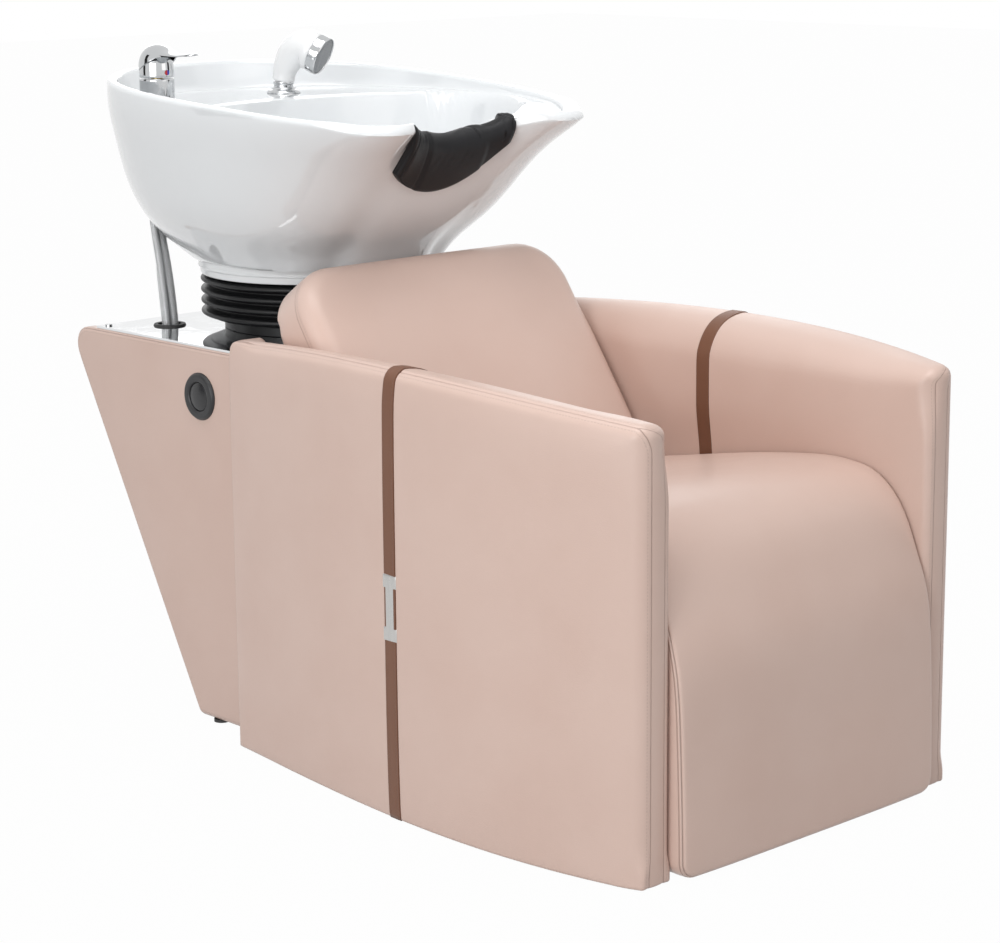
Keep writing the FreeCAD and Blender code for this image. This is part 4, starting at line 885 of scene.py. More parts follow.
for side, node in ((1, "housing_side_left"), (-1, "housing_side_right")):
    cover = padded_slab(node, (390.0, 516.0, 22.0), (6, 10, 44, 6), 6.0, 3.0, housing_bend(side), crown=2.0,
                        waves=0.5, wave_seed=31.0 * side)
    hand_over(cover, "padded_" + node, pink_leather, "upholstery", "chair", node)


def rear_cover_bend(points):
    across, height, out = points.T
    z = 4 + height
    slope = 890 + (1158 - 890) * np.minimum(z - 4, 484) / 484
    chamfer = np.where(z > 488, (z - 488) * 1.25, 0)
    return np.stack([209.5 * (across / 209.5 - 1), slope - chamfer - 22 + out, z], axis=1)


rear_cover = padded_slab("rear", (419.0, 516.0, 22.0), (4, 4, 4, 4), 4.0, 3.0, rear_cover_bend,
                         waves=0.5, wave_seed=41.0)
hand_over(rear_cover, "padded_housing_rear", pink_leather, "upholstery", "chair", "housing_rear_panel")

# %% [markdown]
# ## Straps
# A tan strap lies over each arm, let in until it is almost flush. It follows the arm's own section:
# up the outer face, over the top and down to the seat. Its edges turn down into the groove.

# %% Straps over the arms
STRAP_PLACE, STRAP_HALF, BUCKLE_HEIGHT = 380.0, 11.3, 271.5


def arm_section_line(count=170):
    """The arm's rounded section at the strap, from the outer face's foot over the top to the seat."""
    rise_line = [(v, ARM_THICK) for v in np.linspace(1, ARM_HEIGHT, 90)]
    over = [(ARM_HEIGHT, w) for w in np.linspace(ARM_THICK - 0.6, 0.6, 40)]
    fall_line = [(v, 0.0) for v in np.linspace(ARM_HEIGHT, 300, 60)]
    rows = np.array([(STRAP_PLACE, v, w) for v, w in rise_line + over + fall_line])
    points, _, _, _ = round_slab(rows, ARM_SIZE, ARM_CORNERS, arm_face_radius(rows), arm_inner_radius(rows))
    world = arm_bend(1)(points)[:, (0, 2)]
    keep = np.concatenate([[True], np.linalg.norm(np.diff(world, axis=0), axis=1) > 0.3])
    return world[keep]


def strap(side):
    middle = arm_section_line()
    way = np.gradient(middle, axis=0)
    way /= np.linalg.norm(way, axis=1)[:, None]
    out = np.stack([way[:, 1], -way[:, 0]], axis=1)
    profile = [(-1, -1.6), (-0.985, 0.1), (-0.95, 0.7), (-0.88, 0.95), (-0.7, 0.85), (-0.3, 1.0), (0, 1.0),
               (0.3, 1.0), (0.7, 0.85), (0.88, 0.95), (0.95, 0.7), (0.985, 0.1), (1, -1.6)]
    slope = float(np.gradient(arm_outside(np.array([STRAP_PLACE - 1, STRAP_PLACE, STRAP_PLACE + 1])))[1])
    points = []
    for spot, normal in zip(middle, out):
        for share, lift in profile:
            drift = share * STRAP_HALF
            points.append((side * (spot[0] + normal[0] * lift + slope * drift), STRAP_PLACE + drift,
                           spot[1] + normal[1] * lift))
    piece = mesh_piece("strap", places(points), net_faces(len(middle), len(profile)))
    lengths = chord_lengths(middle)
    # The seam distance is zero at the strap's edges, where they turn down into the groove: the leather darkens them
    # there with painted shade.
    attribute(piece, "seam", [9.5 - abs(share) * STRAP_HALF + 1.7 for _ in middle for share, _ in profile])
    attribute(piece, "along", np.repeat(lengths, len(profile)))
    return piece


for side, node in ((1, "strap_left"), (-1, "strap_right")):
    hand_over(strap(side), "leather_" + node, tan_leather, "strap", "chair", node)

# %% [markdown]
# ## Turned pieces
# Rings, collars, bellows and tap bodies are round, so each starts as half a section and is spun
# about its axis, as on a lathe. Corners of the section are eased first, because no cast, moulded
# or turned edge is perfectly sharp, and a small radius is what catches the light.

# %% Ease a section's corners, and spin it
def eased(section, radius, steps=5):
    """Closed section whose corners are arcs. A radius may be given per corner."""
    section = [np.array(point, float) for point in section]
    radii = [radius] * len(section) if np.isscalar(radius) else radius
    out = []
    for i, corner in enumerate(section):
        before, after = section[i - 1] - corner, section[(i + 1) % len(section)] - corner
        reach = min(radii[i], 0.48 * np.linalg.norm(before), 0.48 * np.linalg.norm(after))
        if reach < 1e-3:
            out.append(corner)
            continue
        first = corner + before / np.linalg.norm(before) * reach
        last = corner + after / np.linalg.norm(after) * reach
        for t in np.linspace(0, 1, steps + 1):
            out.append(first * (1 - t) ** 2 + corner * 2 * t * (1 - t) + last * t * t)
    return out


def turned_piece(name, section, centre, steps=96, axis=None):
    """Spin a closed section of (radius, height) in millimetres about an upright axis, then tilt it."""
    count = len(section)
    piece = start_piece(name, [(r / 1000, 0, z / 1000) for r, z in section],
                        [(i, (i + 1) % count) for i in range(count)], [])
    bpy.ops.mesh.spin(steps=steps, angle=2 * math.pi, center=(0, 0, 0), axis=(0, 0, 1))
    bpy.ops.mesh.select_all(action="SELECT")
    bpy.ops.mesh.remove_doubles(threshold=0.00002)
    bpy.ops.mesh.normals_make_consistent(inside=False)
    bpy.ops.object.mode_set(mode="OBJECT")
    if axis is not None:
        piece.matrix_world = Vector((0, 0, 1)).rotation_difference(Vector(axis)).to_matrix().to_4x4()
    piece.location = centre
    rest_at_origin(piece)
    bpy.ops.object.shade_smooth_by_angle(angle=math.radians(40))
    return piece


# %% [markdown]
# ## Basin
# The basin is one ceramic shell. Outside, its plan grows from a small base to a wide rim with two
# horns at the neck notch. Inside are a flat tap deck at the rear and a deep bowl in front of it.
# Every part of it flows into the next, so it is made as one net of 208 columns: up the outside,
# over the rounded lip, down the inside and to the drain. No primitive comes near this shape.

# %% Plan curves of the basin
def closed_curve(points, per_span=8):
    """A closed smooth curve with the same number of points between each pair of given ones."""
    count = len(points)
    wrapped = np.concatenate([points[-6:], points, points[:6]])

    def spots(lengths):
        spans = [np.linspace(lengths[i], lengths[i + 1], per_span, endpoint=False) for i in range(6, 6 + count)]
        return np.concatenate(spans)
    return spline_at(wrapped, spots)


def plan_curve(half, rear, horn_half, horn, notch):
    """Rounded rear, tapering flanks, two horns, and the notch for the neck."""
    widest = 885.0
    side = []
    for i in range(1, 6):
        angle = math.pi / 2 * i / 5
        side.append((half * math.sin(angle) ** (2 / 2.3), widest + (rear - widest) * math.cos(angle) ** (2 / 2.3)))
    for share in (0.35, 0.65, 0.86, 0.98):
        side.append((horn_half + (half - horn_half) * math.sqrt(1 - share ** 2.4), widest - (widest - horn) * share))
    for share in (0.9, 0.7, 0.4):
        side.append((horn_half * share, horn + (notch - horn) * (1 - share ** 4) ** 1.5))
    other = [(-x, y) for x, y in reversed(side)]
    return closed_curve(np.array([(0, rear)] + side + [(0, notch)] + other))


BASIN_FOOT = 622.0
RIM_HALF, RIM_REAR, HORN_HALF, HORN, NOTCH = RIM = 268, 1177, 136, 519, 602
HULL_ROWS = [(BASIN_FOOT, 166, 1071, 95, 764, 738), (642, 184, 1110, 96, 748, 727), (676, 216, 1138, 100, 706, 694),
             (730, 243, 1162, 112, 650, 648), (786, 258, 1172, 128, 586, 616), (836, *RIM),
             (870, *RIM), (905, *RIM)]
hull_heights = np.array([row[0] for row in HULL_ROWS], float)
hull_plans = np.array([plan_curve(half, rear, horn_half, horn, notch)
                       for _, half, rear, horn_half, horn, notch in HULL_ROWS])
COLUMNS = hull_plans.shape[1]


hull_steps = np.diff(hull_heights)
hull_bends = spline_bends(hull_steps, hull_plans)


def hull_at(heights):
    """Plan place of every column at its own height."""
    columns = np.arange(COLUMNS)
    i = np.clip(np.searchsorted(hull_heights, heights, side="right") - 1, 0, len(hull_steps) - 1)
    return spline_between(hull_plans[i, columns], hull_plans[i + 1, columns], hull_bends[i, columns],
                          hull_bends[i + 1, columns], hull_steps[i][:, None], (heights - hull_heights[i])[:, None])


# %% Rim, deck and bowl as heights
def soft_min(one, other, reach):
    share = np.clip(0.5 + 0.5 * (other - one) / reach, 0, 1)
    return other + (one - other) * share - reach * share * (1 - share)


def rim_height(x, behind):
    """The rim slopes gently up to the rear, and dips in an arc between the horns."""
    plane = 853 + 0.07 * (behind - 845)
    reach = np.minimum(abs(x), 200)
    dip = 800 + 212.4 - np.sqrt(212.4 ** 2 - reach ** 2) + np.where(behind > 690, 500, 0)
    return soft_min(plane, dip, 8.0)


BOWL_MIDDLE = np.array([0.0, 825.0])
tray_plan = plan_curve(RIM_HALF - 14, RIM_REAR - 14, HORN_HALF - 14, HORN + 42, NOTCH + 18.2)


def egg(half, front, rear):
    """Outline of the bowl at one height: blunt at the rear, narrower towards the neck."""
    middle = front + (rear - front) * 0.6
    side = []
    for i in range(1, 9):
        angle = math.pi * i / 9
        reach = math.cos(angle)
        y = middle + (rear - middle) * reach ** 0.72 if reach > 0 else middle - (middle - front) * (-reach) ** 0.95
        side.append((half * math.sin(angle) ** 0.8, y))
    other = [(-x, y) for x, y in reversed(side)]
    return closed_curve(np.array([(0, rear)] + side + [(0, front)] + other), 12)


def reach_towards(outline, angles):
    """Distance from the bowl's middle to an outline, in each direction."""
    offset = outline - BOWL_MIDDLE
    bearing, distance = np.arctan2(offset[:, 1], offset[:, 0]), np.hypot(*offset.T)
    order = np.argsort(bearing)
    bearing, distance = bearing[order], distance[order]
    return np.interp(angles, np.concatenate([bearing - 2 * math.pi, bearing, bearing + 2 * math.pi]),
                     np.tile(distance, 3))


tray_offset = tray_plan - BOWL_MIDDLE
tray_angle, tray_reach = np.arctan2(tray_offset[:, 1], tray_offset[:, 0]), np.hypot(*tray_offset.T)
bowl_reach = np.minimum(reach_towards(egg(245.6, 620.2, 930), tray_angle), tray_reach - 1.0)
floor_reach = reach_towards(egg(92, 752, 884), tray_angle)


def inside_height(distance, lip):
    """Height of the inside at a distance from the bowl's middle, along every column."""
    share = (distance - floor_reach) / (bowl_reach - floor_reach)
    rise = np.interp(share, [-9, 0, 0.1, 0.2, 0.3, 0.42, 0.53, 0.64, 0.74, 0.84, 0.92, 1.0, 1.1],
                     [0, 0, 0.014, 0.04, 0.077, 0.13, 0.202, 0.3, 0.425, 0.58, 0.765, 1.0, 1.32])
    bowl = 668 + 173 * rise
    floor = soft_min(soft_min(bowl, np.full_like(bowl, 836.0), 16.0), lip + 0.5, 8.0)
    wall = lip - (tray_reach - distance) * 5.0
    return -soft_min(-floor, -wall, 14.0)


# %% The basin's net
outer_rim = hull_plans[-1]
rim_tops = rim_height(outer_rim[:, 0], outer_rim[:, 1])
for _ in range(6):
    outer_rim = hull_at(rim_tops)
    rim_tops = rim_height(outer_rim[:, 0], outer_rim[:, 1])
at_horn = smooth((620 - outer_rim[:, 1]) / 70)
lip_size = 7 + 6 * at_horn
lip_foot = rim_tops - lip_size
rows = []
for share in np.linspace(0, 1, 64):
    heights = BASIN_FOOT + share * (lip_foot - BASIN_FOOT)
    rows.append(np.column_stack([hull_at(heights), heights]))
lip_outer = rows[-1][:, :2]
lip_width = np.linalg.norm(tray_plan - lip_outer, axis=1)
for angle in np.linspace(0, math.pi, 18)[1:]:
    share = (1 - math.cos(angle)) / 2
    from_side = np.clip(min(share, 1 - share) * lip_width / (7 + 15 * at_horn), 0, 1)
    lift = lip_size * (1 - (1 - from_side) ** 2.3) ** 0.55
    rows.append(np.column_stack([lip_outer + (tray_plan - lip_outer) * share, lip_foot + lift]))
steps_in = np.array([0.6, 1.3, 2.2, 3.3, 4.6, 6.2, 8, 10, 12.5, 15.5, 19, 23, 27.5, 32.5, 38, 44, 50])
for step in steps_in:
    reach = tray_reach - step * np.minimum(tray_reach / 200, 1)
    spot = BOWL_MIDDLE + tray_offset * (reach / tray_reach)[:, None]
    rows.append(np.column_stack([spot, inside_height(reach, lip_foot)]))
last_reach = reach
edge_reach = np.minimum(bowl_reach, last_reach - 4.0)
for start, end, shares in ((last_reach, edge_reach, [0.25, 0.5, 0.7, 0.84, 0.93, 1.0]),
                           (edge_reach, floor_reach, np.linspace(0, 1, 34)[1:] ** 1.25),
                           (floor_reach, np.full(COLUMNS, 26.0), np.linspace(0, 1, 10)[1:])):
    for share in shares:
        reach = start + (end - start) * share
        inward = np.clip((last_reach - reach) / (last_reach - 26), 0, 1)[:, None]
        centre = BOWL_MIDDLE + np.array([0, 10]) * smooth(inward * 1.2)
        spot = centre + tray_offset / tray_reach[:, None] * reach[:, None]
        rows.append(np.column_stack([spot, inside_height(reach, lip_foot)]))
drain = np.array([0, 835.0])
ring = tray_offset / tray_reach[:, None]
for radius, height in ((24, 667.2), (22.5, 665.5), (22, 662), (22, 654)):
    rows.append(np.column_stack([drain + ring * radius, np.full(COLUMNS, float(height))]))
base = np.column_stack([np.array([0, STEM]) + (rows[0][:, :2] - [0, STEM]) * 0.86, np.full(COLUMNS, BASIN_FOOT)])
rows += [np.column_stack([drain + ring * 60, np.full(COLUMNS, 651.0)]),
         np.column_stack([base[:, :2], np.full(COLUMNS, 640.0)]), base]
basin = mesh_piece("basin_shell", places(np.concatenate(rows)), net_faces(len(rows), COLUMNS, looped=True))
print("rim from", round(float(rim_tops.min())), "to", round(float(rim_tops.max())), "mm high")


# %% Open space under the tap deck, and the way in for the hoses
inner_rows = []
for height in np.linspace(612, 820, 12):
    plan = hull_at(np.full(COLUMNS, max(height, BASIN_FOOT)))
    inward = np.array([0, 900.0]) - plan
    plan = plan + inward / np.linalg.norm(inward, axis=1)[:, None] * 14
    inner_rows.append(np.column_stack([plan, np.full(COLUMNS, height)]))
cavity = mesh_piece("cavity", places(np.concatenate(inner_rows)), net_faces(len(inner_rows), COLUMNS))
bpy.ops.object.mode_set(mode="EDIT")
bpy.ops.mesh.select_all(action="SELECT")
bpy.ops.mesh.bisect(plane_co=place(0, 958, 700), plane_no=(0, 1, 0), use_fill=True, clear_inner=True)
bpy.ops.object.mode_set(mode="OBJECT")
cut_away(basin, cavity)
for sides, radius, depth, spot in ((64, 0.042, 0.12, (-140, 1072, 672)), (48, 0.0125, 0.05, (*SHOWER, 832))):
    select_none()
    bpy.ops.mesh.primitive_cylinder_add(vertices=sides, radius=radius, depth=depth, location=place(*spot))
    cut_away(basin, bpy.context.object)
only(basin)
bpy.ops.object.shade_smooth_by_angle(angle=math.radians(50))
hand_over(basin, "ceramic_basin", glaze, "ceramic", "basin", "basin")

# %% [markdown]
# ## Collar and bellows
# A white plastic collar closes the basin's base. Below it a ribbed rubber sleeve hides the tilting
# joint. The sleeve stretches as the basin tilts; here it is one fixed piece.

# %% Collar
collar_section = [(150, 600), (156.5, 600), (157.5, 602), (158.5, 609), (160.5, 610.5), (160.8, 612), (159.8, 613.5),
                  (161.5, 621), (162, 622), (150, 622)]
collar = turned_piece("collar", eased(collar_section, 1.2), place(0, STEM, 0), 128)
hand_over(collar, "basin_collar_ring", collar_plastic, "collar", "basin", "basin_collar")

# %% Bellows
outer, pitch = [(126, 523.0), (126, 536.0), (129, 538.5)], (599.7 - 539) / 4
for i in range(4):
    low = 539 + pitch * i
    outer += [(144.5, low), (146, low + pitch * 0.12), (156, low + pitch * 0.3), (158, low + pitch * 0.42),
              (158, low + pitch * 0.58), (156, low + pitch * 0.7), (146, low + pitch * 0.9)]
outer += [(145, 599.7)]
inner = [(r - 2.5, z) for r, z in reversed(outer)]
bellows = turned_piece("bellows", eased(outer + inner, 1.6, 3), place(0, STEM, 0), 128)
hand_over(bellows, "rubber_bellows", bellows_rubber, "bellows", None, "bellows")
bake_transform(bellows)

# %% [markdown]
# ## Neck rest
# A pad of black leather hangs over the lip of the notch: thick at the front, thinner inside. It has
# to lie on the ceramic, so the basin itself gives its shape. Rays are cast at the finished basin
# from the front and from above; where they hit, the pad's underside lies. Its skin is lifted off
# that along the surface's own normal, with a fat round edge, a step beside each end and creases.

# %% Underside, by rays at the basin
def evened(line, times):
    """A line whose points have moved towards the middle of their neighbours."""
    for _ in range(times):
        line[1:-1] = (line[:-2] + 2 * line[1:-1] + line[2:]) / 4
    return line


def neck_section(x, count=56):
    """The lip's outline at one place across: from the hem up the front, over the lip and inside."""
    hem = 733 + 0.0049 * (x + 20) ** 2
    front = []
    for height in np.arange(hem, 850, 2.0):
        hit, spot, _, _ = basin.ray_cast(place(x, 470, height), Vector((0, 1, 0)), distance=0.2)
        if not hit:
            break
        front.append((spot.y, spot.z))
    start = front[-1][0]
    over = []
    for step in np.arange(0.0015, 0.06, 0.0015):
        hit, spot, _, _ = basin.ray_cast(Vector((x / 1000, start + step, 0.95)), Vector((0, 0, -1)), distance=0.3)
        if hit:
            over.append((spot.y, spot.z))
    outline = np.array(front + over)
    outline = evened(outline, 6)
    lengths = chord_lengths(outline)
    crest = lengths[np.argmax(outline[:, 1] > outline[:, 1].max() - 0.0015)]
    spots = np.linspace(0, min(lengths[-1], crest + 0.034 - 0.029 * smooth((abs(x + 14) - 36) / 30)), count)
    return [(x / 1000, np.interp(spot, lengths, outline[:, 0]), np.interp(spot, lengths, outline[:, 1]))
            for spot in spots]


across = -3 + 95 * np.sin(np.linspace(-math.pi / 2, math.pi / 2, 61))
under = evened(np.array([neck_section(x) for x in across]), 4)
neck_low, neck_high = under[..., 2].min() * 1000, under[..., 2].max() * 1000
print("neck rest from", round(float(neck_low)), "to", round(float(neck_high)), "mm high")


# %% Skin of the neck rest
def neck_skin(under):
    way_across, way_up = np.gradient(under, axis=0), np.gradient(under, axis=1)
    normal = np.cross(way_across, way_up)
    normal /= np.linalg.norm(normal, axis=2)[..., None]
    normal *= np.sign(-normal[len(under) // 2, 5, 1])
    up = np.array([chord_lengths(line) for line in under])
    side = 0.095 - abs(under[..., 0] + 0.003)
    edge = np.minimum.reduce([side, up, up[:, -1:] - up]) * 1000
    round_edge = np.sqrt(np.clip(1 - (1 - np.clip(edge / 11, 0, 1)) ** 2.4, 0, 1))
    x, rise = under[..., 0] * 1000, up * 1000
    thick = 11.5 + 2.5 * np.sin(np.clip(rise / 78, 0, 1) * math.pi) + 1.8 * smooth((54 - abs(x)) / 5)
    thick = thick - 5.5 * smooth((rise - 62) / 22)
    creases = ((-38, 0.75, 0.8, 1.8), (-27, 0.6, 1.0, 2.2), (-13, 0.65, 0.9, 2.0), (-3, 0.5, 0.7, 1.6),
               (9, 0.55, 1.0, 2.2), (22, 0.4, 0.7, 1.8))
    for spot, lean, deep, wide in creases:
        line = x - spot - lean * (rise - 52) - 2.0 * np.sin(rise / 11 + spot)
        thick = thick - deep * np.exp(-(line / wide) ** 2) * np.exp(-((rise - 52) / 13) ** 2)
    thick = thick - 1.2 * np.exp(-((abs(x) - 54) / 1.4) ** 2)
    return under + normal * (0.0004 + thick * round_edge / 1000)[..., None], edge


skin, neck_edge = neck_skin(under)
columns, rows = skin.shape[:2]
neck_points = np.concatenate([skin.reshape(-1, 3), under.reshape(-1, 3)])
neck_faces = []
for i in range(columns - 1):
    for j in range(rows - 1):
        ring = [i * rows + j, (i + 1) * rows + j, (i + 1) * rows + j + 1, i * rows + j + 1]
        neck_faces += [ring, [columns * rows + k for k in reversed(ring)]]
border = [(i, 0) for i in range(columns)] + [(columns - 1, j) for j in range(1, rows)]
border += [(i, rows - 1) for i in range(columns - 2, -1, -1)] + [(0, j) for j in range(rows - 2, 0, -1)]
for (i, j), (k, l) in zip(border, border[1:] + border[:1]):
    neck_faces.append([i * rows + j, k * rows + l, columns * rows + k * rows + l, columns * rows + i * rows + j])
neck_rest = mesh_piece("neck_rest", neck_points, neck_faces)
# Seam distance from the pad's border: the leather darkens the welt's two creases with painted shade.
attribute(neck_rest, "seam", np.concatenate([neck_edge.ravel() - 4.5, np.full(columns * rows, 60.0)]))
attribute(neck_rest, "along", np.concatenate([(skin[..., 0] * 1000).ravel(), np.zeros(columns * rows)]))
black_leather = leather("black_leather", (0.014, 0.014, 0.016), (0.010, 0.010, 0.011), 1000.0, 0.46, piped=True,
                        shine=0.22)
hand_over(neck_rest, "neck_pad", black_leather, "neck_pad", "basin", "neck_rest")

# %% [markdown]
# ## Mixer tap
# The tap is a chrome cylinder on a small flange. Its lever is a thin arched shell: it hoods the
# cartridge at the rear and sweeps forward to a narrow, slightly raised tip. The shell is lofted
# from arch sections whose width, crest and edge are read from three smooth lines.

# %% Tap flange and body
flange = turned_piece("flange", eased([(16, 836), (27, 836), (27, 838), (24.5, 840), (16, 840)], 0.7), place(*TAP, 0))
hand_over(flange, "tap_flange", chrome, "chrome", "basin", "mixer_base")
tap_section = [(0, 790), (15.4, 790), (15.4, 840), (23.8, 840), (24, 842), (24, 865.2), (23.2, 867.6), (8.2, 867.8),
               (8.2, 848), (0, 848)]
tap_body = turned_piece("tap", eased(tap_section, 0.8), place(*TAP, 0))
hand_over(tap_body, "tap_body", chrome, "chrome", "basin", "mixer_body")

# %% Lever with its hood
lever_line = np.array([(-23.5, 889, 881, 8), (-20, 898, 878.5, 15), (-12, 908, 879, 21.5), (0, 913.5, 884, 24.6),
                       (12, 912, 891, 23.2), (24, 907.2, 896.5, 18.5), (36, 903.8, 898, 15), (50, 902.2, 898, 12.6),
                       (66, 902.8, 899, 10.8), (80, 904.0, 900.6, 9.4), (87, 904.2, 901.4, 7.2), (90, 903.6, 902, 3.5)])


def lever_shell():
    stations = spline_steps(lever_line, 70)
    angles = np.linspace(0, math.pi, 25)
    points = []
    for reach, crest, edge, half in stations:
        wall = min(2.2, half * 0.35, (crest - edge) * 0.45)
        for shrink, order in ((0, angles), (wall, angles[::-1])):
            for angle in order:
                lift = (crest - edge - shrink) * math.sin(angle) ** 0.7
                points.append((TAP[0] + (half - shrink) * math.cos(angle), TAP[1] - reach, edge + lift))
    piece = mesh_piece("lever", places(points), net_faces(len(stations), 2 * len(angles)))
    bpy.ops.object.shade_smooth_by_angle(angle=math.radians(40))
    return piece


hood_section = [(0, 868.9), (23.4, 868.9), (23.9, 870), (23.9, 880), (23.2, 889), (20, 899), (12, 905.5), (0, 907.5)]
hood = turned_piece("hood", eased(hood_section, 1.0), place(*TAP, 0))
lever = joined(lever_shell(), hood)
hand_over(lever, "tap_lever", chrome, "chrome", "mixer_lever", "mixer_lever")

# %% [markdown]
# ## Hand shower
# The shower stands in a chrome socket on the deck. Its white body is an elbow that widens towards
# the head. A chrome ring holds a grey face with the spray holes.

# %% Socket and escutcheon
plate_section = [(13.9, 836), (24, 836), (24, 837.6), (21.5, 840.4), (17.6, 842.2), (16.6, 844.6), (13.9, 844.6)]
escutcheon = turned_piece("escutcheon", eased(plate_section, 0.8), place(*SHOWER, 0))
hand_over(escutcheon, "shower_plate", chrome, "chrome", "basin", "shower_escutcheon")
socket_section = [(11.5, 807), (13.7, 807), (13.7, 848), (14.6, 849.2), (14.6, 851.6), (13.9, 853), (11.5, 853)]
socket = turned_piece("socket", eased(socket_section, 0.6), place(*SHOWER, 0))
hand_over(socket, "shower_socket", chrome, "chrome", "basin", "shower_sleeve")

# %% White elbow
SHOWER_TURN, SHOWER_DROP, SOCKET_TOP = math.radians(28), math.radians(25), 853.3


def on_shower(forward, height):
    """A place in the shower's own upright plane."""
    return place(SHOWER[0] + forward * math.sin(SHOWER_TURN), SHOWER[1] - forward * math.cos(SHOWER_TURN),
                 SOCKET_TOP + height)


grip_line = np.array([(0, 0, 14.2), (0.2, 1.2, 15.3), (0.8, 5, 15.8), (3, 15, 17), (9.5, 29, 20), (20.5, 41, 23.5),
                      (34, 45.8, 26.3), (48, 41.3, 28.0), (49.5, 40.6, 27.4)])
grip = spline_steps(grip_line, 90)
grip_points = np.array([on_shower(forward, height) for forward, height, _ in grip])
elbow = swept_tube("elbow", grip_points, grip[:, 2] / 1000, 48)
shank = turned_piece("shank", eased([(0, 801.3), (11.3, 801.3), (11.3, 854.5), (0, 854.5)], 0.8), place(*SHOWER, 0), 48)
joined(elbow, shank)
bpy.ops.object.shade_smooth_by_angle(angle=math.radians(45))
hand_over(elbow, "shower_elbow", shower_plastic, "shower_white", "hand_shower", "shower_handle")

# %% [markdown]
# When the shower is lifted, its hose comes up through the socket. The length that can be pulled out
# hangs straight down inside the basin, and it moves with the shower.

# %% Hose that can be pulled out
pull_line = np.array([place(*SHOWER, height) for height in np.linspace(802, 579, 40)])
pull_hose = swept_tube("pull", pull_line, np.full(40, 0.0054), 16)
hand_over(pull_hose, "shower_hose_pull", braid, "braid", "hand_shower")

# %% Head ring and spray face
head = on_shower(49.5, 40.6)
head_way = on_shower(49.5 + math.cos(SHOWER_DROP), 40.6 - math.sin(SHOWER_DROP)) - head
ring_section = [(26, 0), (28.2, 0), (28.5, 1.2), (28.5, 9), (28.1, 13.4), (27, 15), (26, 13.4)]
head_ring = turned_piece("ring", eased(ring_section, 0.6), head, 96, head_way)
hand_over(head_ring, "shower_ring_trim", chrome, "chrome", "hand_shower", "shower_ring")


def spray_finish():
    """Grey plastic with a grid of small holes, darkened inside with painted shade."""
    grey = (0.24, 0.25, 0.265)
    material, shader, wire = finish("spray_grey", grey, 0.36)
    turned = wire.node("ShaderNodeMapping", {"vector_type": "POINT"},
                       {"Vector": object_place(wire), "Scale": (1000, 1000, 1000)})
    across, _, down = xyz(wire, turned)
    holes = ((across - SHOWER[0]).wave(4.4) * down.wave(4.4)).step(0.35, 0.6)
    # Painted shade: each hole is darkened almost to black, and the bump below sinks it.
    wire.join(tint(wire, holes, grey, (0.02, 0.02, 0.02)), shader.inputs["Base Color"])
    bump(wire, shader, 1 - holes, 0.0006)
    return material


face_section = [(0, 11.0), (25.8, 11.0), (25.8, 13.2), (18, 13.9), (0, 14.2)]
spray = turned_piece("spray", eased(face_section, 0.4), head, 96, head_way)
hand_over(spray, "spray_plate", spray_finish(), "spray_grey", "hand_shower", "spray_face")

# %% [markdown]
# ## Push button
# A black bezel is screwed into the housing's side. Its cap is a little domed and stands a few
# millimetres proud, with a fine gap round it.

# %% Bezel and cap
BUTTON = place(-232, 866, 455)
bezel_section = [(19.8, -34), (23.3, -34), (23.3, 0), (32.5, 0), (32.5, 2.2), (29.6, 6), (21.6, 6), (19.8, 4.2)]
bezel = turned_piece("bezel", eased(bezel_section, [0.3, 0.3, 0, 0.4, 1.2, 1.6, 1.0, 0.6]), BUTTON, 96, (-1, 0, 0))
hand_over(bezel, "button_ring", bezel_plastic, "bezel", "chair", "button_bezel")
cap_section = [(0, -11.5), (19.5, -11.5), (19.5, 3.6), (17.6, 4.6), (10, 5.9), (0, 6.4)]
cap = turned_piece("cap", eased(cap_section, [0, 0.3, 0.8, 1.2, 5, 0]), BUTTON, 96, (-1, 0, 0))
hand_over(cap, "button_face", button_plastic, "button", "button", "button_cap")

# %% [markdown]
# ## Buckles
# On each strap sits a flat steel clip: a slim waist between two wider ears. It starts as a cube
# the size of the waist; the ears are extruded from its sides, and a bevel softens every edge.

# %% Buckles
def buckle(side):
    face = float(arm_outside(STRAP_PLACE)) + 6.4
    select_none()
    bpy.ops.mesh.primitive_cube_add(size=1, location=place(side * face, STRAP_PLACE, BUCKLE_HEIGHT))
    piece = bpy.context.object
    piece.scale = (0.0052, 0.015, 0.083)
    rest_at_origin(piece)
    bpy.ops.object.mode_set(mode="EDIT")
    bpy.ops.mesh.select_mode(type="FACE")
    for height in (247, 296):
        bpy.ops.mesh.select_all(action="SELECT")
        bpy.ops.mesh.bisect(plane_co=place(0, 0, height), plane_no=(0, 0, 1))
    for way in (-1, 1):
        bpy.ops.object.mode_set(mode="OBJECT")
        mesh = piece.data
        ears = [abs(face.center.z - BUCKLE_HEIGHT / 1000) > 0.025 and face.normal.y * way > 0.9
                for face in mesh.polygons]
        corners = {index for face, ear in zip(mesh.polygons, ears) if ear for index in face.vertices}
        mesh.polygons.foreach_set("select", ears)
        mesh.edges.foreach_set("select", [False] * len(mesh.edges))
        mesh.vertices.foreach_set("select", [index in corners for index in range(len(mesh.vertices))])
        bpy.ops.object.mode_set(mode="EDIT")
        bpy.ops.mesh.extrude_region_move(TRANSFORM_OT_translate={"value": (0, way * 0.0045, 0)})
    bpy.ops.object.mode_set(mode="OBJECT")
    apply_modifier(piece, "BEVEL", width=0.0013, segments=4, limit_method="ANGLE")
    bpy.ops.object.shade_smooth_by_angle(angle=math.radians(35))
    return piece


for side, node in ((1, "buckle_left"), (-1, "buckle_right")):
    hand_over(buckle(side), "steel_" + node, buckle_steel, "buckle", "chair", node)

# %% [markdown]
# ## Pieces that keep their CAD shape
# Boards, brackets, nuts and the mirror plate are plain shapes, so their CAD mesh stays and only
# gets a finish. The tap's mark is red on one side and blue on the other.

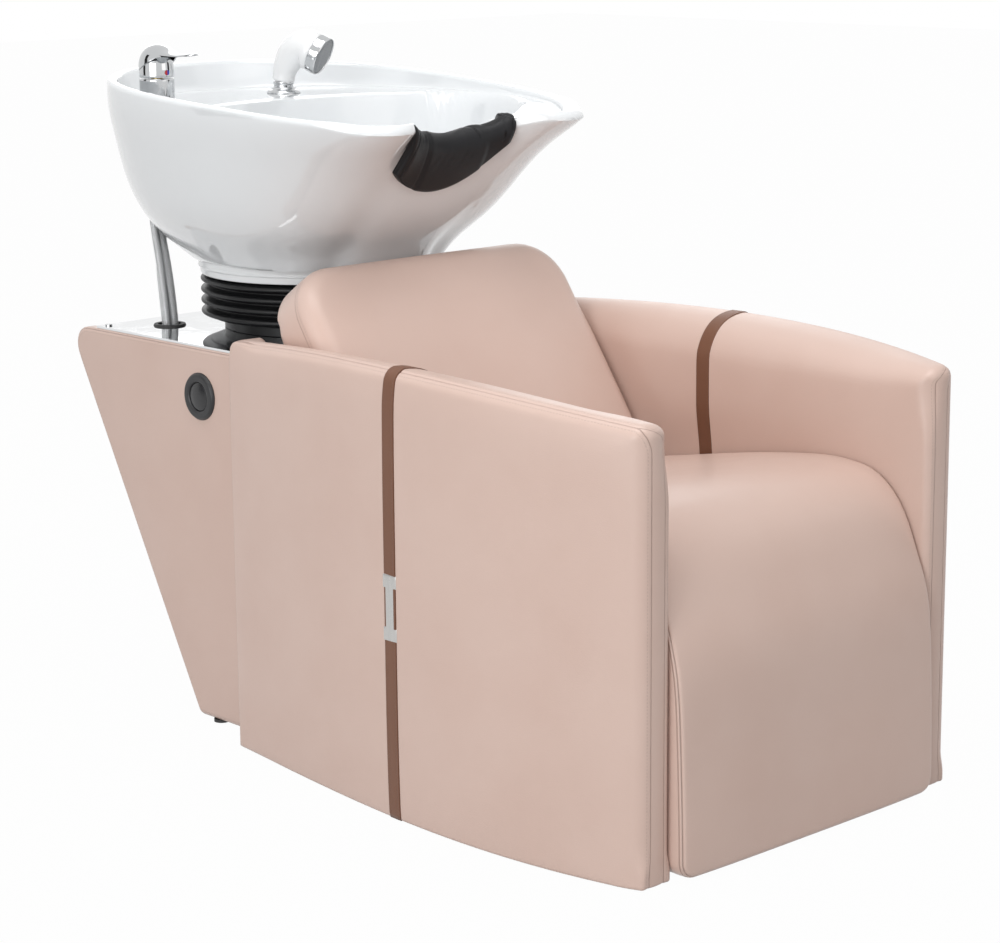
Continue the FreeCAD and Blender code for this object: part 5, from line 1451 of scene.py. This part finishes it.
# %% Finishes of the CAD pieces
def mark_finish():
    material, shader, wire = finish("hot_cold_mark", (0.5, 0.02, 0.02), 0.18)
    across, _, _ = xyz(wire, object_place(wire))
    side = (across * 1000 - TAP[0]).step(-0.2, 0.2)
    wire.join(tint(wire, side, (0.50, 0.015, 0.02), (0.02, 0.05, 0.40)), shader.inputs["Base Color"])
    return material


cad_finishes = {
    wood: "floor_board front_riser seat_board seat_cleats housing_front_panel corner_cleats housing_floor",
    plain("back_lining", (0.40, 0.285, 0.24), 0.62, 0.12, 900.0, 0.00015): "back_board back_braces",
    mirror_steel: "top_plate", chrome: "plate_screws bracket_bolts", black_rubber: "feet hose_grommet",
    switch_plastic: "switch_body", washer_plastic: "friction_washers",
    bracket_steel: "bellows_clamp tilt_carrier pivot_ears tilt_pin", buckle_steel: "drain_strainer",
    brass: "mixer_nut mixer_cartridge shower_nut hose_manifold",
    grey_plastic: "waste_tailpiece waste_nut drain_outlet", mark_finish(): "mixer_dot"}
for material, names in cad_finishes.items():
    for name in names.split():
        nodes[name].data.materials.clear()
        nodes[name].data.materials.append(material)

# %% [markdown]
# ## Studio
# The photograph has a pure white background and hardly any shadow. Floor and world are white where
# the camera or a reflection sees them, while the light itself stays at a level at which a colour
# renders as it is written. Wide soft lamps give the broad highlights on leather and glaze.

# %% Floor and world
def camera_or_mirror(wire):
    path = wire.node("ShaderNodeLightPath", {}, {}).socket.node.outputs
    seen = Wire(wire.tree, path["Is Camera Ray"])
    for name in ("Is Glossy Ray", "Is Transmission Ray"):
        seen = wire.sum("MAXIMUM", seen, Wire(wire.tree, path[name]))
    return seen


floor_white = bpy.data.materials.new("floor_white")
floor_white.use_nodes = True
tree = floor_white.node_tree
wire = Wire(tree)
diffuse = tree.nodes["Principled BSDF"]
diffuse.inputs["Base Color"].default_value = (0.38, 0.38, 0.38, 1)
diffuse.inputs["Roughness"].default_value = 0.9
glow = wire.node("ShaderNodeEmission", {}, {"Color": (1, 1, 1, 1), "Strength": 1.0})
body = Wire(tree, diffuse.outputs[0])
mixed = wire.node("ShaderNodeMixShader", {}, {0: camera_or_mirror(wire) * 0.98, 1: body, 2: glow})
wire.join(mixed, tree.nodes["Material Output"].inputs["Surface"])
select_none()
bpy.ops.mesh.primitive_plane_add(size=30, location=(0, 0, 0))
floor = bpy.context.object
floor.name = "studio_floor"
floor.data.materials.append(floor_white)
floor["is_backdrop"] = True

world = bpy.context.scene.world or bpy.data.worlds.new("studio")
bpy.context.scene.world = world
world.use_nodes = True
tree = world.node_tree
tree.nodes.clear()
wire = Wire(tree)
seen = camera_or_mirror(wire)
background = wire.node("ShaderNodeBackground", {}, {"Color": (1, 1, 1, 1), "Strength": seen * 0.43 + 0.57})
out = tree.nodes.new("ShaderNodeOutputWorld")
wire.join(background, out.inputs["Surface"])


# %% Lamps
def lamp(name, spot, aim, size, watts, colour=(1, 1, 1)):
    select_none()
    bpy.ops.object.light_add(type="AREA", location=spot)
    light = bpy.context.object
    light.name = name
    light.data.shape = "RECTANGLE"
    light.data.size, light.data.size_y = size
    light.data.energy = watts
    light.data.color = colour
    light.rotation_euler = (Vector(aim) - Vector(spot)).to_track_quat("-Z", "Y").to_euler()
    return light


lamp("key_left", (-3.4, -0.9, 1.25), (0, 0, 0.5), (1.7, 2.0), 38)
lamp("key_front", (-3.0, -1.9, 1.2), (0, 0, 0.5), (1.4, 2.0), 18)
lamp("top_soft", (-0.3, -0.5, 3.3), (0, 0, 0.5), (2.4, 2.0), 47)
lamp("back_soft", (2.3, 2.9, 1.9), (0, 0, 0.6), (2.6, 1.6), 13)
lamp("front_fill", (0.8, -3.6, 1.5), (0, 0, 0.4), (2.0, 1.6), 8, (1, 0.94, 0.91))

# %% [markdown]
# Chrome needs something dark to mirror, or it fades into a white room. Two black cards stand out of
# the picture, as they do in a photographer's studio. The camera doesn't see them, so they hide nothing
# when the chair is looked at from behind.

# %% Black cards
card_black = plain("card_black", (0.02, 0.02, 0.02), 0.9)
for name, spot in (("card_right", (2.9, -2.2, 1.3)), ("card_left", (-2.7, 2.2, 1.3))):
    select_none()
    bpy.ops.mesh.primitive_plane_add(size=1, location=spot)
    card = bpy.context.object
    card.name = name
    card.visible_camera = False
    card.scale = (1.0, 2.2, 1)
    card.rotation_euler = (Vector((0, 0, 1.0)) - Vector(spot)).to_track_quat("Z", "Y").to_euler()
    card.data.materials.append(card_black)
    card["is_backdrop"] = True

bpy.context.scene.view_settings.view_transform = "Standard"

# %% [markdown]
# ## Sizes
# The CAD's size and the finished chair's size are printed side by side.

# %% Sizes, and finish
low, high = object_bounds()
print("CAD", [round(v, 3) for v in cad_high - cad_low], "finished", [round(v, 3) for v in high - low])
